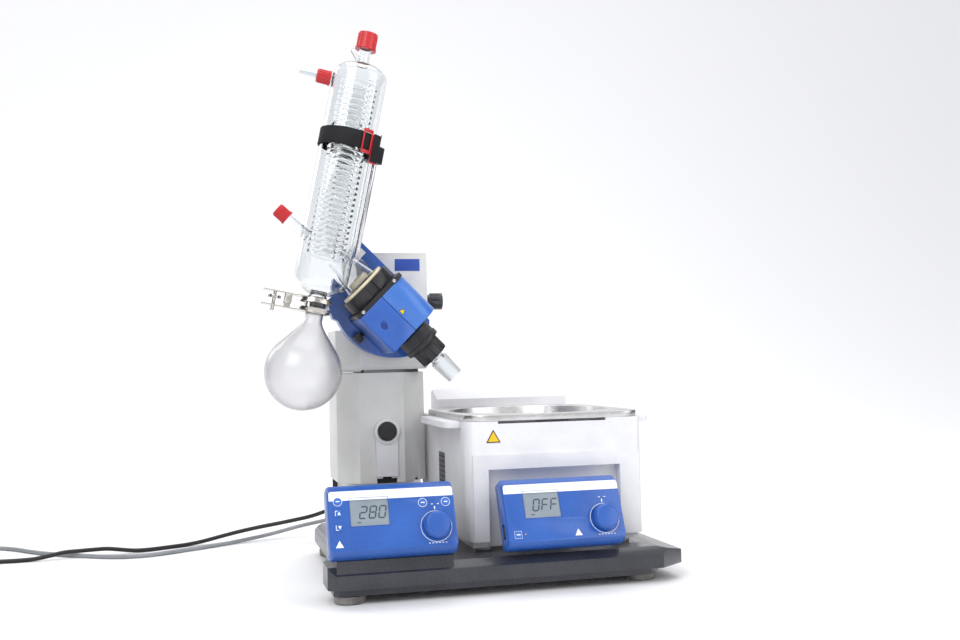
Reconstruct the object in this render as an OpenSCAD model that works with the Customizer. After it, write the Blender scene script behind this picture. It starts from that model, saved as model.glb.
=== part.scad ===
// Bench rotary evaporator with upright condenser, motor lift and heating bath.
// Bench frame: X runs right along the base's front edge, Y runs back, Z up, all from the
// base's front left corner at table height. place() moves it so the origin is the bottom
// centre of the whole stand. Head frame: X runs down the drive axis, Z square to it.
// Glass frame: Z runs up the condenser's axis from the ball joint.

/* [Base] */
// Width of the base plate
base_w = 505; // [480:1:620]
// Depth of the base plate
base_d = 430; // [425:1:540]
// Height of the plate's underside above the table
base_lift = 12; // [8:1:20]
// Height of the recessed skirt under the ledge
skirt_h = 9; // [5:1:15]
// Height of the ledge that runs round the plate
ledge_h = 19; // [12:1:26]
// Height of the bevelled top above the ledge
bevel_h = 10; // [6:1:16]
// Depth of the bath's tray in the top
tray_depth = 3; // [2:1:5]
// Width of the bevel at the right end
end_bevel = 45; // [25:1:60]
// Width of the bevel on the other sides
side_bevel = 12; // [6:1:20]
// Height of the block that carries the drive's panel
block_h = 13; // [8:1:20]
// Radius of a levelling foot
foot_r = 21; // [14:0.5:26]
// Radius of a foot's stud
stud_r = 4; // [3:0.5:6]

/* [Tower] */
// Left side of the tower
tower_x = 52; // [45:1:60]
// Width of the tower
tower_w = 142; // [136:1:170]
// Front face of the tower
tower_front = 290; // [280:1:300]
// Depth of the tower
tower_d = 135; // [125:1:160]
// Height at which the tower's shell starts
tower_foot = 125; // [110:1:140]
// Height of the fixed shell's top
tower_top = 298; // [280:1:340]
// Wall of the tower's mouldings
shell_wall = 3; // [2:0.5:4]
// Radius of a guide rod
rod_r = 6; // [4:0.5:8]
// Radius of the lift screw
screw_r = 5; // [4:0.5:7]
// Travel of the lift
lift_travel = 140; // [100:1:145]

/* [Sleeve] */
// Height of the moving sleeve above the shell's top
sleeve_h = 187; // [175:1:220]
// Height of the sleeve's wider foot
wing_h = 66; // [50:1:80]
// How far the sleeve's upper part is set in at the left
sleeve_inset = 33; // [25:1:38]
// Distance of the head's pivot above the shell's top
pivot_rise = 120; // [112:1:135]
// Radius of the pivot's boss
boss_r = 102; // [90:1:108]
// Radius of the pivot shaft
pivot_r = 12; // [8:0.5:15]
// Radius of the tilt lock's knob
tilt_knob_r = 13.5; // [10:0.5:18]

/* [Head] */
// Slope of the drive axis below level
head_tilt = 45; // [30:1:45]
// Distance from the tower's face to the drive axis
head_gap = 80; // [78:1:95]
// Half width of the head's housing
head_half = 47; // [42:0.5:52]
// Length of the head's housing
head_len = 70; // [60:1:80]
// Wall of the head's housing
head_wall = 3; // [2:0.5:4]
// Radius of the spindle in its bearing
hub_r = 19.95; // [16:0.05:22]
// Radius of the collar outside the head
collar_r = 27.5; // [24:0.5:32]
// Radius of the union nut
nut_r = 42; // [40:0.5:46]
// Length of the union nut
nut_len = 19; // [16:0.5:24]
// Large radius of the ground cone
cone_r = 14.6; // [12:0.1:17]
// Length of the ground cone
cone_len = 34; // [26:1:40]
// Outer radius of the vapour tube
tube_r = 11.5; // [9:0.5:12]

/* [Glass] */
// Lean of the condenser from upright
lean = 11.8; // [8:0.1:14]
// Radius of the condenser's jacket
jacket_r = 41; // [36:0.5:44]
// Straight length of the jacket
jacket_len = 310; // [260:1:330]
// Wall of the glass
glass_wall = 2.2; // [1.5:0.1:3]
// Radius of the receiving flask
flask_r = 57; // [48:0.5:60]
// Radius of the flask's neck
neck_r = 13.5; // [12:0.5:15]
// Turns of the cooling coil
coil_turns = 17; // [10:1:18]

/* [Bath] */
// Left side of the bath's housing
bath_x = 200; // [198:1:215]
// Width of the bath's housing
bath_w = 264; // [260:1:300]
// Height of the basin's rim above the table
rim_z = 237; // [225:1:255]
// Radius of the basin
basin_r = 123; // [105:1:124]
// Depth of the basin
basin_depth = 118; // [90:1:130]
// Wall of the bath's housing
bath_wall = 4; // [3:0.5:5]
// Reach of a grip lip beyond the housing
grip_reach = 24; // [16:1:24]
// Travel of the bath along its tray
bath_travel = 28; // [10:1:28]

/* [Panels] */
// Width of a control panel
panel_w = 166; // [160:1:180]
// Height of a panel's face
panel_h = 80; // [78:1:92]
// Thickness of a panel
panel_t = 28; // [24:1:34]
// Lean of a panel's face from upright
panel_lean = 23.6; // [15:0.1:30]
// Radius of a control knob
knob_r = 17.5; // [14:0.5:19]
// Height of a control knob
knob_h = 14; // [8:0.5:18]
// Radius of a round key
key_r = 5; // [3.5:0.5:5.5]
// Width of a square key
key_w = 8.5; // [6:0.5:10]

/* [Clearances] */
// Gap round a pin or shaft that turns
run_gap = 0.05; // [0.02:0.01:0.08]
// Gap round a key or other loose slider
slide_gap = 0.15; // [0.1:0.01:0.3]
// Gap between two bodies' faces
face_gap = 0.4; // [0.3:0.05:0.6]

/* [Hidden] */

$fn = 64;
eps = 0.01;

// Colours
slate = "#45464f";
console_blue = "#3668c0";
off_white = "#e6e6ea";
warm_grey = "#c9cac9";
steel = "#b9b9bd";
jet = "#1f1f22";
glass_tint = [0.85, 0.9, 0.92, 0.5];

// Base
ledge_z = base_lift + skirt_h;
ledge_top = ledge_z + ledge_h;
deck_z = ledge_top + bevel_h;
tray_z = deck_z - tray_depth;
block_top = deck_z + block_h;
block_w = 160;
end_cut = 40;
waist = 24;
foot_spots = [[28, 30], [base_w - 60, 44], [50, base_d - 36], [base_w - 50, base_d - 36]];
foot_h = base_lift - 1;
stud_h = 16;

// Tower
tower_right = tower_x + tower_w;
tower_back = tower_front + tower_d;
tower_cut = 38;
rail_x = (tower_x + sleeve_inset + tower_right) / 2;
rail_y = tower_front + 82;
rod_pitch = 60;
column_half = 47;
column_cut = 30;
column_front = tower_front + 12;
column_back = tower_back - 8;
carriage_h = 35;
sleeve_top = tower_top + 2 + sleeve_h;
carriage_z = tower_top + 6;
rod_top = sleeve_top - shell_wall - 3;
pivot_x = rail_x - 2.5;
pivot_z = tower_top + pivot_rise;
frame_t = 6;

// End stop on the tower's front
stop_x = rail_x - 14;
stop_z = tower_foot + 81;
stop_head_r = 19.5;
stop_button_r = 15;
stop_strip_w = 35;
stop_travel = 60;
slot_w = 14;

// Head
axis_drop = 31.6;
axis_back = 35.9;
head_y = tower_front - head_gap;
head_x = pivot_x + axis_back * cos(head_tilt) - axis_drop * sin(head_tilt);
head_z = pivot_z - axis_back * sin(head_tilt) - axis_drop * cos(head_tilt);
case_start = -56;
case_end = case_start + head_len;
flange_t = 6.7;
flange_start = case_start - flange_t;
nut_start = flange_start - 2 - nut_len;
collar_end = case_end + 30;
push_nut_len = 24;
cone_start = collar_end + push_nut_len + 9;
arm_t = tower_front - 5 - face_gap - (head_y + head_half);

// Glass
joint_x = head_x - 131;
joint_z = head_z + 28;
jacket_bottom = 42;
jacket_top = jacket_bottom + jacket_len;
cap_base = jacket_top + 44;
flask_drop = 98;
clamp_pin_b = -42;
fork_tail = 80;
clamp_screw_b = -62;
strap_a = 240;
strap_w = 26;
lower_port_a = 83;
lower_port_rise = 30;
lower_cap_at = 75;
upper_port_a = jacket_top - 11;
port_r = 8;
cap_r = 10.5;
cap_len = 21;
upper_cap_at = 43;
nipple_r = 4;
nipple_len = 26;
rod_holder_a = strap_a - 1;
rod_turn = 40;
rod_foot_a = 89;
rod_len = 196;
rod_reach = 66;

// Bath
bath_mid = bath_x + bath_w / 2;
bath_right = bath_x + bath_w;
bath_front = head_y - 142;
bath_back = bath_front + 327;
bath_top = rim_z - 9;
bath_foot_h = 5;
bath_bottom = tray_z + bath_foot_h + 9;
recess_x0 = bath_x + 30;
recess_x1 = bath_x + 226;
recess_top = 161;
recess_depth = 13;
step_top = 181;
rim_depth = 2 * (head_y - bath_front) - 4;
hood_x0 = bath_mid - 112;
hood_w = 224;
bath_cord_x = bath_x + 100;
bath_cord_z = 85;

// Panels
panel_drop = 5.5;
panel_rise = 10;
panel_back_step = 13;
drive_panel_x = -1;
drive_panel_y = 13;
drive_panel_z = block_top + 85.4;
bath_panel_x = bath_x + 35.5;
bath_panel_y = bath_front - 49.4;
bath_panel_z = bath_bottom + 83.7;
knob_at = [panel_w - 27, -54];
lcd_at = [27, -48.5];
lcd_size = [51, 38];
knob_lift = 1.5;
shaft_r = 3;
shaft_out = 4;
key_out = 0.8;
face_wall = 2.5;
rocker_at = [0, -62, -14];
rocker_size = [8, 16, 9];

// Cords
cord_r = 3.5;
cord_z = 3.6;
drive_gland = [78, tower_back + shell_wall, 76];
gland_len = 24;
coil_r = 38.5;
coil_half = 7.2;
drive_coil_at = [-572, 560];
drive_coil_h = 21.2;
bath_coil_at = [-600, 720];
bath_coil_h = 14.2;
plug_r = 18;
plug_len = 38;
relief_len = 22;

// Route of the black lead, in the bench frame
drive_route = [[78, 452, 76], [76, 478, 71], [65, 503, 62], [48, 524, 53], [29, 541, 45],
    [-5, 556, 37], [-32, 563, 32], [-60, 570, 27], [-92, 580, 20], [-125, 588, 12],
    [-157, 583, 6], [-186, 572, 3.7], [-214, 559, 3.6], [-242, 547, 3.6], [-266, 541, 4.4],
    [-289, 539, 7.6], [-311, 537, 10.8], [-334, 533, 11.2], [-356, 529, 11.2],
    [-378, 525, 10.8], [-400, 520, 7.4], [-422, 517, 4.4], [-446, 516, 3.6],
    [-472, 517, 3.6], [-500, 518, 3.6], [-528, 518, 3.6], [-556, 518, 3.6]];

// Route of the grey lead, in the bench frame
bath_route = [[300, 419, 85], [300, 444, 84], [296, 472, 81], [284, 502, 75], [264, 530, 68],
    [236, 553, 60], [204, 573, 53], [170, 588, 46], [136, 599, 40], [100, 606, 34],
    [63, 610, 27], [18, 612, 19], [-15, 605, 13], [-45, 596, 8.5], [-73, 586, 5.5],
    [-103, 569, 3.8], [-131, 550, 3.6], [-158, 533, 3.6], [-184, 518, 3.6],
    [-211, 502, 3.6], [-237, 491, 3.6], [-262, 487, 3.6], [-287, 490, 3.6],
    [-314, 502, 3.6], [-341, 520, 3.6], [-365, 536, 3.6], [-388, 552, 3.6],
    [-413, 573, 3.6], [-438, 600, 3.6], [-462, 630, 3.6], [-489, 656, 3.6],
    [-520, 672, 3.6], [-552, 678, 3.6], [-584, 678, 3.6]];

// Origin: bottom centre of the stand
left_reach = min(joint_x - flask_drop * sin(lean) - flask_r,
    joint_x - fork_tail * cos(lean) - 10 * sin(lean));
right_reach = max(base_w - 3, bath_right + grip_reach);
front_reach = drive_panel_y - (knob_r - 3 - knob_at[1]) * sin(panel_lean)
    - (knob_lift + knob_h) * cos(panel_lean);
back_reach = drive_gland[1] + gland_len;
origin_x = (left_reach + right_reach) / 2;
origin_y = (front_reach + back_reach) / 2;

// ---------- frames ----------
module place() {
    translate([-origin_x, -origin_y, 0]) children();
}

module head() {
    place() translate([head_x, head_y, head_z]) rotate([0, head_tilt, 0]) children();
}

// Turns a shape drawn round Z so that it lies along the drive axis
module on_axis(s = 0) {
    head() translate([s, 0, 0]) rotate([0, 90, 0]) children();
}

module glass(a = 0) {
    place() translate([joint_x, head_y, joint_z]) rotate([0, lean, 0])
        translate([0, 0, a]) children();
}

// A panel's face: X right, Y up the face, Z out of it, from the top left corner
module drive_face() {
    place() translate([drive_panel_x, drive_panel_y, drive_panel_z])
        rotate([90 - panel_lean, 0, 0]) children();
}

module bath_face() {
    place() translate([bath_panel_x, bath_panel_y, bath_panel_z])
        rotate([90 - panel_lean, 0, 0]) children();
}

// ---------- shapes ----------
module rounded(w, d, r) {
    translate([r, 0]) square([w - 2 * r, d]);
    translate([0, r]) square([w, d - 2 * r]);
    for (x = [r, w - r], y = [r, d - r]) translate([x, y]) circle(r);
}

module ring(r_out, r_in, h) {
    difference() {
        cylinder(r = r_out, h = h);
        translate([0, 0, -1]) cylinder(r = r_in, h = h + 2);
    }
}

// A solid through outlines of equal length, each at its own height
module stack(outlines, heights) {
    n = len(outlines[0]);
    m = len(heights);
    polyhedron(
        points = [for (j = [0:m - 1]) for (p = outlines[j]) [p[0], p[1], heights[j]]],
        faces = concat([[for (i = [0:n - 1]) i]],
            [[for (i = [n - 1:-1:0]) (m - 1) * n + i]],
            [for (j = [0:m - 2]) for (i = [0:n - 1])
                [j * n + i, (j + 1) * n + i, j * n + (i + 1) % n]],
            [for (j = [0:m - 2]) for (i = [0:n - 1])
                [j * n + (i + 1) % n, (j + 1) * n + i, (j + 1) * n + (i + 1) % n]]));
}

// The base's outline, set in by one amount at the right and another elsewhere
function base_points(i, e) = [
    [-3 + 10 + i / 2, i], [base_w - 3 - end_cut - e / 2, i], [base_w - 3 - e, 30 + i / 2],
    [base_w - 3 - e, base_d - 20 - i / 2], [base_w - 23 - e + i / 2, base_d - i],
    [waist + 12 + i / 2, base_d - i], [waist + i, base_d - 12 - i / 2],
    [waist + i, 84], [-3 + i, 62 - i], [-3 + i, 10 + i / 2]];

// ---------- base ----------
module bevel_cut(s) {
    k = bevel_h / s;
    polygon([[-10, ledge_top - 10 * k], [s + 10, deck_z + 10 * k], [-10, deck_z + 10 * k]]);
}

module bevelled_deck() {
    difference() {
        translate([0, 0, ledge_z]) linear_extrude(ledge_h + bevel_h) polygon(base_points(0, 0));
        translate([-20, 0, 0]) rotate([90, 0, 90]) linear_extrude(base_w + 60)
            bevel_cut(side_bevel);
        translate([-20, base_d, 0]) mirror([0, 1, 0]) rotate([90, 0, 90])
            linear_extrude(base_w + 60) bevel_cut(side_bevel);
        translate([base_w - 3, base_d + 20, 0]) mirror([1, 0, 0]) rotate([90, 0, 0])
            linear_extrude(base_d + 40) bevel_cut(end_bevel);
        translate([waist, base_d + 20, 0]) rotate([90, 0, 0])
            linear_extrude(base_d - 84) bevel_cut(side_bevel);
    }
}

module base_body() {
    difference() {
        union() {
            translate([0, 0, base_lift]) linear_extrude(skirt_h + 1) polygon(base_points(8, 34));
            bevelled_deck();
            translate([8, 2.5, ledge_top - 1])
                cube([block_w - 5, 88, block_top - ledge_top + 1]);
            translate([tower_x - 4, tower_front - 4, deck_z - 1])
                cube([tower_w + 2, tower_d + 8, block_top - deck_z + 1]);
            panel_stand();
        }
        translate([bath_x - 14, bath_front - 18, tray_z])
            cube([bath_w + 28 + bath_travel, bath_back - bath_front + 28, tray_depth + 1]);
        for (p = foot_spots) translate([p[0], p[1], base_lift - 1])
            cylinder(r = stud_r + run_gap, h = stud_h + 2);
    }
}

// Wedge that holds the drive's panel at its slope
module panel_stand() {
    back_top = drive_panel_y + panel_t * cos(panel_lean) + 0.1;
    slope = tan(panel_lean);
    top_z = drive_panel_z - 22;
    low_z = drive_panel_z - 68;
    translate([20, 0, 0]) rotate([90, 0, 90]) linear_extrude(panel_w - 42) polygon([
        [back_top - (drive_panel_z + panel_t * sin(panel_lean) - top_z) * slope, top_z],
        [back_top - (drive_panel_z + panel_t * sin(panel_lean) - low_z) * slope, low_z],
        [12, block_top - 1], [88, block_top - 1], [88, block_top + 22], [52, top_z]]);
}

// The room a panel's case takes up, from the given height above its back
module panel_room(over) {
    translate([-4, -panel_h - panel_drop - 1, -panel_t + over])
        cube([panel_w + 8, panel_h + panel_drop + panel_rise + 2, panel_t + 20]);
}

module base_plate() {
    color(slate) difference() {
        place() base_body();
        drive_face() panel_room(0);
    }
}

module levelling_feet() {
    color("#8c8a86") place() for (p = foot_spots) translate([p[0], p[1], 0]) {
        cylinder(r1 = foot_r - 1.5, r2 = foot_r, h = 2);
        translate([0, 0, 2]) cylinder(r = foot_r, h = foot_h - 2);
        translate([0, 0, foot_h - eps]) cylinder(r = stud_r, h = stud_h);
    }
}

// ---------- tower ----------
function tower_points(i) = [
    [tower_x + 31 + i / 2, tower_front + i], [tower_right - 40 - i / 2, tower_front + i],
    [tower_right - i, tower_front + tower_cut + i / 2], [tower_right - i, tower_back],
    [tower_x + i, tower_back], [tower_x + i, tower_front + tower_cut - 3 + i / 2]];

module tower_shell() {
    w = shell_wall;
    color(warm_grey) place() difference() {
        union() {
            translate([0, 0, tower_foot]) linear_extrude(tower_top - tower_foot)
                polygon(tower_points(0));
            translate([tower_x + 12, tower_front + 16, block_top])
                cube([tower_w - 24, tower_d - 16, tower_foot - block_top + 1]);
        }
        translate([0, 0, tower_foot + w])
            linear_extrude(tower_top - tower_foot - 2 * w) polygon(tower_points(w));
        translate([tower_x + 12 + w, tower_front + 16 + w, block_top - 1])
            cube([tower_w - 24 - 2 * w, tower_d, tower_foot - block_top + w + 2]);
        // opening for the moving column
        translate([0, 0, tower_top - 6]) linear_extrude(9) column_outline(-face_gap);
        // slot that the end stop runs in
        translate([stop_x - slot_w / 2, tower_front - 1, stop_z - stop_travel - 14])
            cube([slot_w, w + 2, stop_travel + 28]);
        // dark opening under the end stop
        translate([stop_x - 16, tower_front - 1, tower_foot - 1]) cube([32, 12, 8]);
        // rear opening closed by the cover
        translate([tower_x + 12, tower_back - 6, tower_foot + w])
            cube([tower_w - 24, 8, tower_top - tower_foot - 2 * w]);
    }
}

module tower_rear_cover() {
    w = shell_wall;
    color(slate) place() difference() {
        translate([tower_x + 4, tower_back, block_top + 1])
            cube([tower_w - 8, w, tower_top - block_top - 4]);
        translate([drive_gland[0], tower_back - 1, drive_gland[2]]) rotate([-90, 0, 0])
            cylinder(r = 6, h = w + 2);
        for (k = [0:7]) translate([tower_x + 40, tower_back - 1, tower_top - 42 - 9 * k])
            cube([tower_w - 80, w + 2, 3]);
    }
}

// Steel foot plate with the two guide rods and the geared lift motor
module tower_frame() {
    color(steel) place() {
        translate([tower_x + 18, tower_front + 24, block_top])
            cube([tower_w - 36, tower_d - 34, frame_t]);
        for (x = [-1, 1]) translate([rail_x + x * rod_pitch / 2, rail_y, block_top + frame_t])
            cylinder(r = rod_r, h = rod_top - block_top - frame_t);
        translate([rail_x, rail_y, block_top + frame_t]) cylinder(r = 21, h = 44);
    }
}

module lift_screw() {
    foot = block_top + frame_t + 44 + face_gap;
    color(steel) place() translate([rail_x, rail_y, foot]) {
        cylinder(r = screw_r + 4, h = 5);
        cylinder(r = screw_r, h = rod_top - foot);
    }
}

module stop_slider() {
    color(off_white) place() translate([stop_x, 0, stop_z]) {
        difference() {
            translate([0, tower_front - face_gap, 0]) rotate([90, 0, 0])
                cylinder(r = stop_head_r, h = 6.3);
            translate([0, tower_front - 1.6, 0]) rotate([90, 0, 0])
                cylinder(r = stop_button_r + slide_gap, h = 8);
        }
        difference() {
            translate([-stop_strip_w / 2, tower_front - face_gap - 2.4, -71])
                cube([stop_strip_w, 2.4, 71]);
            translate([0, tower_front, 0]) rotate([90, 0, 0])
                cylinder(r = stop_head_r - 1, h = 8);
        }
        translate([-slot_w / 2 + 1, tower_front - face_gap - eps, -9])
            cube([slot_w - 2, shell_wall + 2 * face_gap, 18]);
        translate([-12, tower_front + shell_wall + face_gap - eps, -12]) cube([24, 2.6, 24]);
    }
}

module stop_button() {
    color(jet) place() translate([stop_x, tower_front - 5, stop_z]) rotate([90, 0, 0]) {
        cylinder(r = stop_button_r, h = 4);
        translate([0, 0, 4]) cylinder(r1 = stop_button_r, r2 = stop_button_r - 1.5, h = 1.2);
    }
}

// ---------- lift ----------
module lift_sleeve() {
    w = shell_wall;
    z0 = tower_top + 2;
    x0 = tower_x + sleeve_inset;
    bevel = 7;
    color(warm_grey) place() difference() {
        union() {
            translate([x0, tower_front, z0 + bevel])
                cube([tower_right - x0, tower_d, sleeve_h - bevel]);
            translate([0, 0, z0 + bevel]) linear_extrude(wing_h - bevel) polygon([
                [x0 + eps, tower_front], [x0 + 5, tower_front], [x0 + 5, tower_back - eps],
                [tower_x, tower_back - eps], [tower_x, tower_front + tower_cut - 3]]);
            stack([[[x0 + 2, tower_front + 5], [tower_right - 5, tower_front + 5],
                [tower_right - 5, tower_back], [tower_x + 5, tower_back],
                [tower_x + 5, tower_front + tower_cut]],
                [[x0, tower_front], [tower_right, tower_front],
                [tower_right, tower_back], [tower_x, tower_back],
                [tower_x, tower_front + tower_cut - 3]]], [z0, z0 + bevel + eps]);
            intersection() {
                translate([pivot_x, tower_front + 1, pivot_z]) rotate([90, 0, 0])
                    cylinder(r = boss_r, h = 6);
                translate([x0, tower_front - 8, z0 + 10])
                    cube([tower_right - x0, 12, sleeve_h - 18]);
            }
        }
        translate([x0 + w, tower_front + w, z0 - 1])
            cube([tower_right - x0 - 2 * w, tower_d - 2 * w, sleeve_h - w + 1]);
        translate([pivot_x, tower_front - 7, pivot_z]) rotate([-90, 0, 0])
            cylinder(r = pivot_r + run_gap, h = 12);
        translate([tower_right - w - 1, tower_front + 24, pivot_z - 7]) rotate([0, 90, 0])
            cylinder(r = 4 + run_gap, h = w + 2);
    }
}

// The column's cross-section, set in by i, with its right corner cut off inside the shell's
module column_outline(i) {
    x0 = rail_x - column_half + i;
    x1 = rail_x + column_half - i;
    polygon([[x0, column_front + i], [x1 - column_cut + i / 2, column_front + i],
        [x1, column_front + column_cut + i / 2], [x1, column_back - i],
        [x0, column_back - i]]);
}

// Aluminium column that hangs from the sleeve inside the tower
module lift_column() {
    z0 = tower_top - lift_travel - 6;
    color(steel) place() translate([0, 0, z0]) linear_extrude(carriage_z - z0) difference() {
        column_outline(0);
        column_outline(2.5);
    }
}

module lift_carriage() {
    x0 = tower_x + sleeve_inset + shell_wall;
    x1 = tower_right - shell_wall;
    color("#8f9298") place() difference() {
        union() {
            translate([x0, rail_y - 20, carriage_z]) cube([x1 - x0, 40, carriage_h]);
            translate([rail_x - 30, tower_front + shell_wall, carriage_z])
                cube([60, rail_y - tower_front - 20, 5]);
        }
        for (x = [-1, 1]) translate([rail_x + x * rod_pitch / 2, rail_y, carriage_z - 1])
            cylinder(r = rod_r + run_gap, h = carriage_h + 2);
        translate([rail_x, rail_y, carriage_z - 1])
            cylinder(r = screw_r + run_gap, h = carriage_h + 2);
    }
}

module tilt_knob() {
    r = tilt_knob_r;
    color(slate) place() translate([tower_right, tower_front + 24, pivot_z - 7])
        rotate([0, 90, 0]) {
            translate([0, 0, -30]) cylinder(r = 4, h = 31 + face_gap);
            translate([0, 0, 0.6]) cylinder(r = r - 3, h = 10);
            difference() {
                translate([0, 0, 10]) cylinder(r = r, h = 19);
                for (k = [0:7]) rotate([0, 0, 45 * k]) translate([r + 1.5, 0, 9])
                    cylinder(r = 3, h = 15, $fn = 32);
            }
        }
}

// ---------- head ----------
// Outline of the tilting arm, round the pivot, with the notch for the glass
module arm_outline() {
    translate([-axis_back, axis_drop]) circle(r = boss_r - 5);
    polygon([[-117, 35], [-117, 46], [-113, 53], [-108, 54], [-20, 54], [-20, -40],
        [-79, -62], [-104, -50], [-104, -22], [-82, -16], [-82, 35]]);
}

module arm_plate() {
    translate([0, head_half + arm_t, 0]) rotate([90, 0, 0]) linear_extrude(arm_t)
        difference() {
            intersection() {
                arm_outline();
                polygon([[-130, -66], [46, -66], [46, 24], [30, 42], [-44, 42],
                    [-52, 54], [-130, 54]]);
            }
            translate([-140, -16]) square([58, 51]);
        }
}

module head_arm() {
    color(console_blue) head() {
        arm_plate();
        translate([-axis_back, head_half + arm_t - eps, axis_drop]) rotate([-90, 0, 0]) {
            cylinder(r = pivot_r, h = 9 + face_gap);
            translate([0, 0, 8 + face_gap]) cylinder(r = pivot_r - 3, h = 26);
        }
    }
}

// Cross-section of the head's housing, looking down the drive axis
module head_section(r_top, i) {
    h = head_half - i;
    difference() {
        translate([-h, -h]) square(2 * h);
        translate([-h - 1, h - r_top]) square([r_top + 1, r_top + 1]);
        translate([-h - 1, -h - 1]) square([7, 7]);
    }
    translate([-h + r_top, h - r_top]) circle(r = r_top);
    translate([-h + 6, -h + 6]) circle(r = 6);
}

module head_shell(upper) {
    r_top = 26;
    head() difference() {
        intersection() {
            translate([case_start, 0, 0]) rotate([90, 0, 90]) linear_extrude(head_len)
                head_section(r_top, 0);
            translate([case_start - 1, -60, upper ? face_gap / 2 : -60])
                cube([head_len + 2, 120, 60 - face_gap / 2]);
        }
        translate([case_start - 1, 0, 0]) rotate([90, 0, 90])
            linear_extrude(head_len - head_wall + 1) head_section(r_top - head_wall, head_wall);
        translate([case_end - 10, 0, 0]) rotate([0, 90, 0])
            cylinder(r = hub_r + run_gap, h = 12);
        if (!upper) translate([-31, 38, -head_half - 1]) cylinder(r = 3 + run_gap, h = 8);
        if (!upper) translate([-24, -head_half + 1.2, -28]) rotate([90, 30, 0])
            scale([1.5, 1, 1]) cylinder(r = 5, h = 3, $fn = 32);
    }
}

module head_case() {
    color("#3a5cb4") head_shell(false);
}

module head_cover() {
    color("#4a86dc") head_shell(true);
}

// Stator of the hollow-shaft motor
module head_motor() {
    color("#a8703c") on_axis(case_start + 8) ring(43.5, hub_r + 5, 34);
}

module head_flange() {
    color(jet) difference() {
        union() {
            head() translate([flange_start, 0, 0]) rotate([90, 0, 90]) linear_extrude(flange_t)
                intersection() {
                    square(2 * head_half - 2, center = true);
                    rotate(45) square(2 * head_half + 24, center = true);
                }
            on_axis(flange_start - 11) cylinder(r = nut_r - 5, h = 12);
        }
        on_axis(flange_start - 12) cylinder(r = 33, h = 9);
        on_axis(flange_start - 12) cylinder(r = tube_r + 1.5, h = 30);
    }
}

module union_nut() {
    color(jet) on_axis(nut_start) difference() {
        union() {
            cylinder(r = nut_r - 2.5, h = nut_len);
            intersection() {
                cylinder(r = nut_r + 1.5, h = nut_len);
                linear_extrude(nut_len) for (k = [0:3]) rotate(22.5 + 45 * k)
                    square([2 * nut_r + 4, 19], center = true);
            }
        }
        translate([0, 0, -1]) cylinder(r = 31, h = 5);
        translate([0, 0, 3]) cylinder(r = nut_r - 5 + run_gap, h = nut_len);
    }
}

// Collar behind the glass flange, and the lip ring that rides on the vapour tube
module vapour_seal() {
    color("#e8dfc6") on_axis(nut_start - 4.2) ring(37, 29.8, 3.9);
    color("#b8862f") on_axis(nut_start - 14) ring(16.5, tube_r + run_gap, 8);
}

module vapour_tube() {
    tip = cone_r - cone_len / 20;
    color(glass_tint) on_axis() difference() {
        union() {
            translate([0, 0, nut_start - 12]) cylinder(r = tube_r, h = cone_start - nut_start + 12);
            translate([0, 0, cone_start]) cylinder(r1 = cone_r, r2 = tip, h = cone_len);
            translate([0, 0, cone_start - 4]) cylinder(r1 = tube_r, r2 = cone_r, h = 4 + eps);
        }
        translate([0, 0, nut_start - 13]) cylinder(r = tube_r - glass_wall, h = 300);
    }
}

module spindle_hub() {
    color(jet) on_axis() difference() {
        union() {
            translate([0, 0, case_start + 1]) cylinder(r = hub_r, h = head_len + 1);
            translate([0, 0, case_start + 8]) cylinder(r = hub_r + 4.5, h = 34);
            translate([0, 0, case_end + 0.8]) cylinder(r1 = collar_r - 3, r2 = collar_r, h = 4);
            translate([0, 0, case_end + 4.8]) cylinder(r = collar_r, h = 17);
            translate([0, 0, collar_end - 8.2]) cylinder(r = collar_r + 1.5, h = 7.8);
            translate([0, 0, collar_end - 1]) cylinder(r = 18, h = push_nut_len - 4);
        }
        translate([0, 0, case_start]) cylinder(r = tube_r + 0.1, h = 200);
    }
}

module push_off_nut() {
    r = collar_r - 4.5;
    color(jet) on_axis(collar_end) difference() {
        union() {
            cylinder(r = r - 1.5, h = push_nut_len);
            for (k = [0:11]) rotate([0, 0, 30 * k]) translate([r - 2, 0, 0])
                cylinder(r = 2.2, h = push_nut_len, $fn = 24);
        }
        translate([0, 0, -1]) cylinder(r = 18 + run_gap, h = push_nut_len - 3);
        cylinder(r = cone_r + 1, h = push_nut_len + 1);
    }
}

module spindle_lock() {
    color(jet) head() {
        translate([-38, 33, -63]) cube([14, head_half - face_gap - 33, 11]);
        translate([-31, 38, -52 - eps]) cylinder(r = 3, h = 7);
    }
}

// ---------- glass ----------
// Half profile of the jacket, set in by one wall for its inside
module jacket_profile(i) {
    r = jacket_r - i;
    difference() {
        union() {
            translate([0, jacket_bottom]) square([r, jacket_len]);
            intersection() {
                translate([0, jacket_bottom]) scale([1, 0.62]) circle(r);
                translate([0, 0]) square([r + 1, jacket_bottom + 1]);
            }
            intersection() {
                translate([0, jacket_top]) scale([1, 0.56]) circle(r);
                translate([0, jacket_top - 1]) square([r + 1, 60]);
            }
            translate([0, i > 0 ? 4 : 5]) square([neck_r - 1 - i, 40]);
            translate([0, jacket_top]) square([9 - i, cap_base + 14 - jacket_top + i]);
        }
        translate([-100, -10]) square([100, 600]);
    }
}

// Outline of the side ports, in the glass frame
module side_ports(r, extra) {
    translate([0, 0, lower_port_a]) rotate([0, -90 + lower_port_rise, 0])
        translate([0, 0, 30]) cylinder(r = r, h = lower_cap_at - 18 + extra);
    translate([0, 0, upper_port_a]) rotate([0, -90, 0])
        translate([0, 0, 30]) cylinder(r = r, h = 27 + extra);
}

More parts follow.
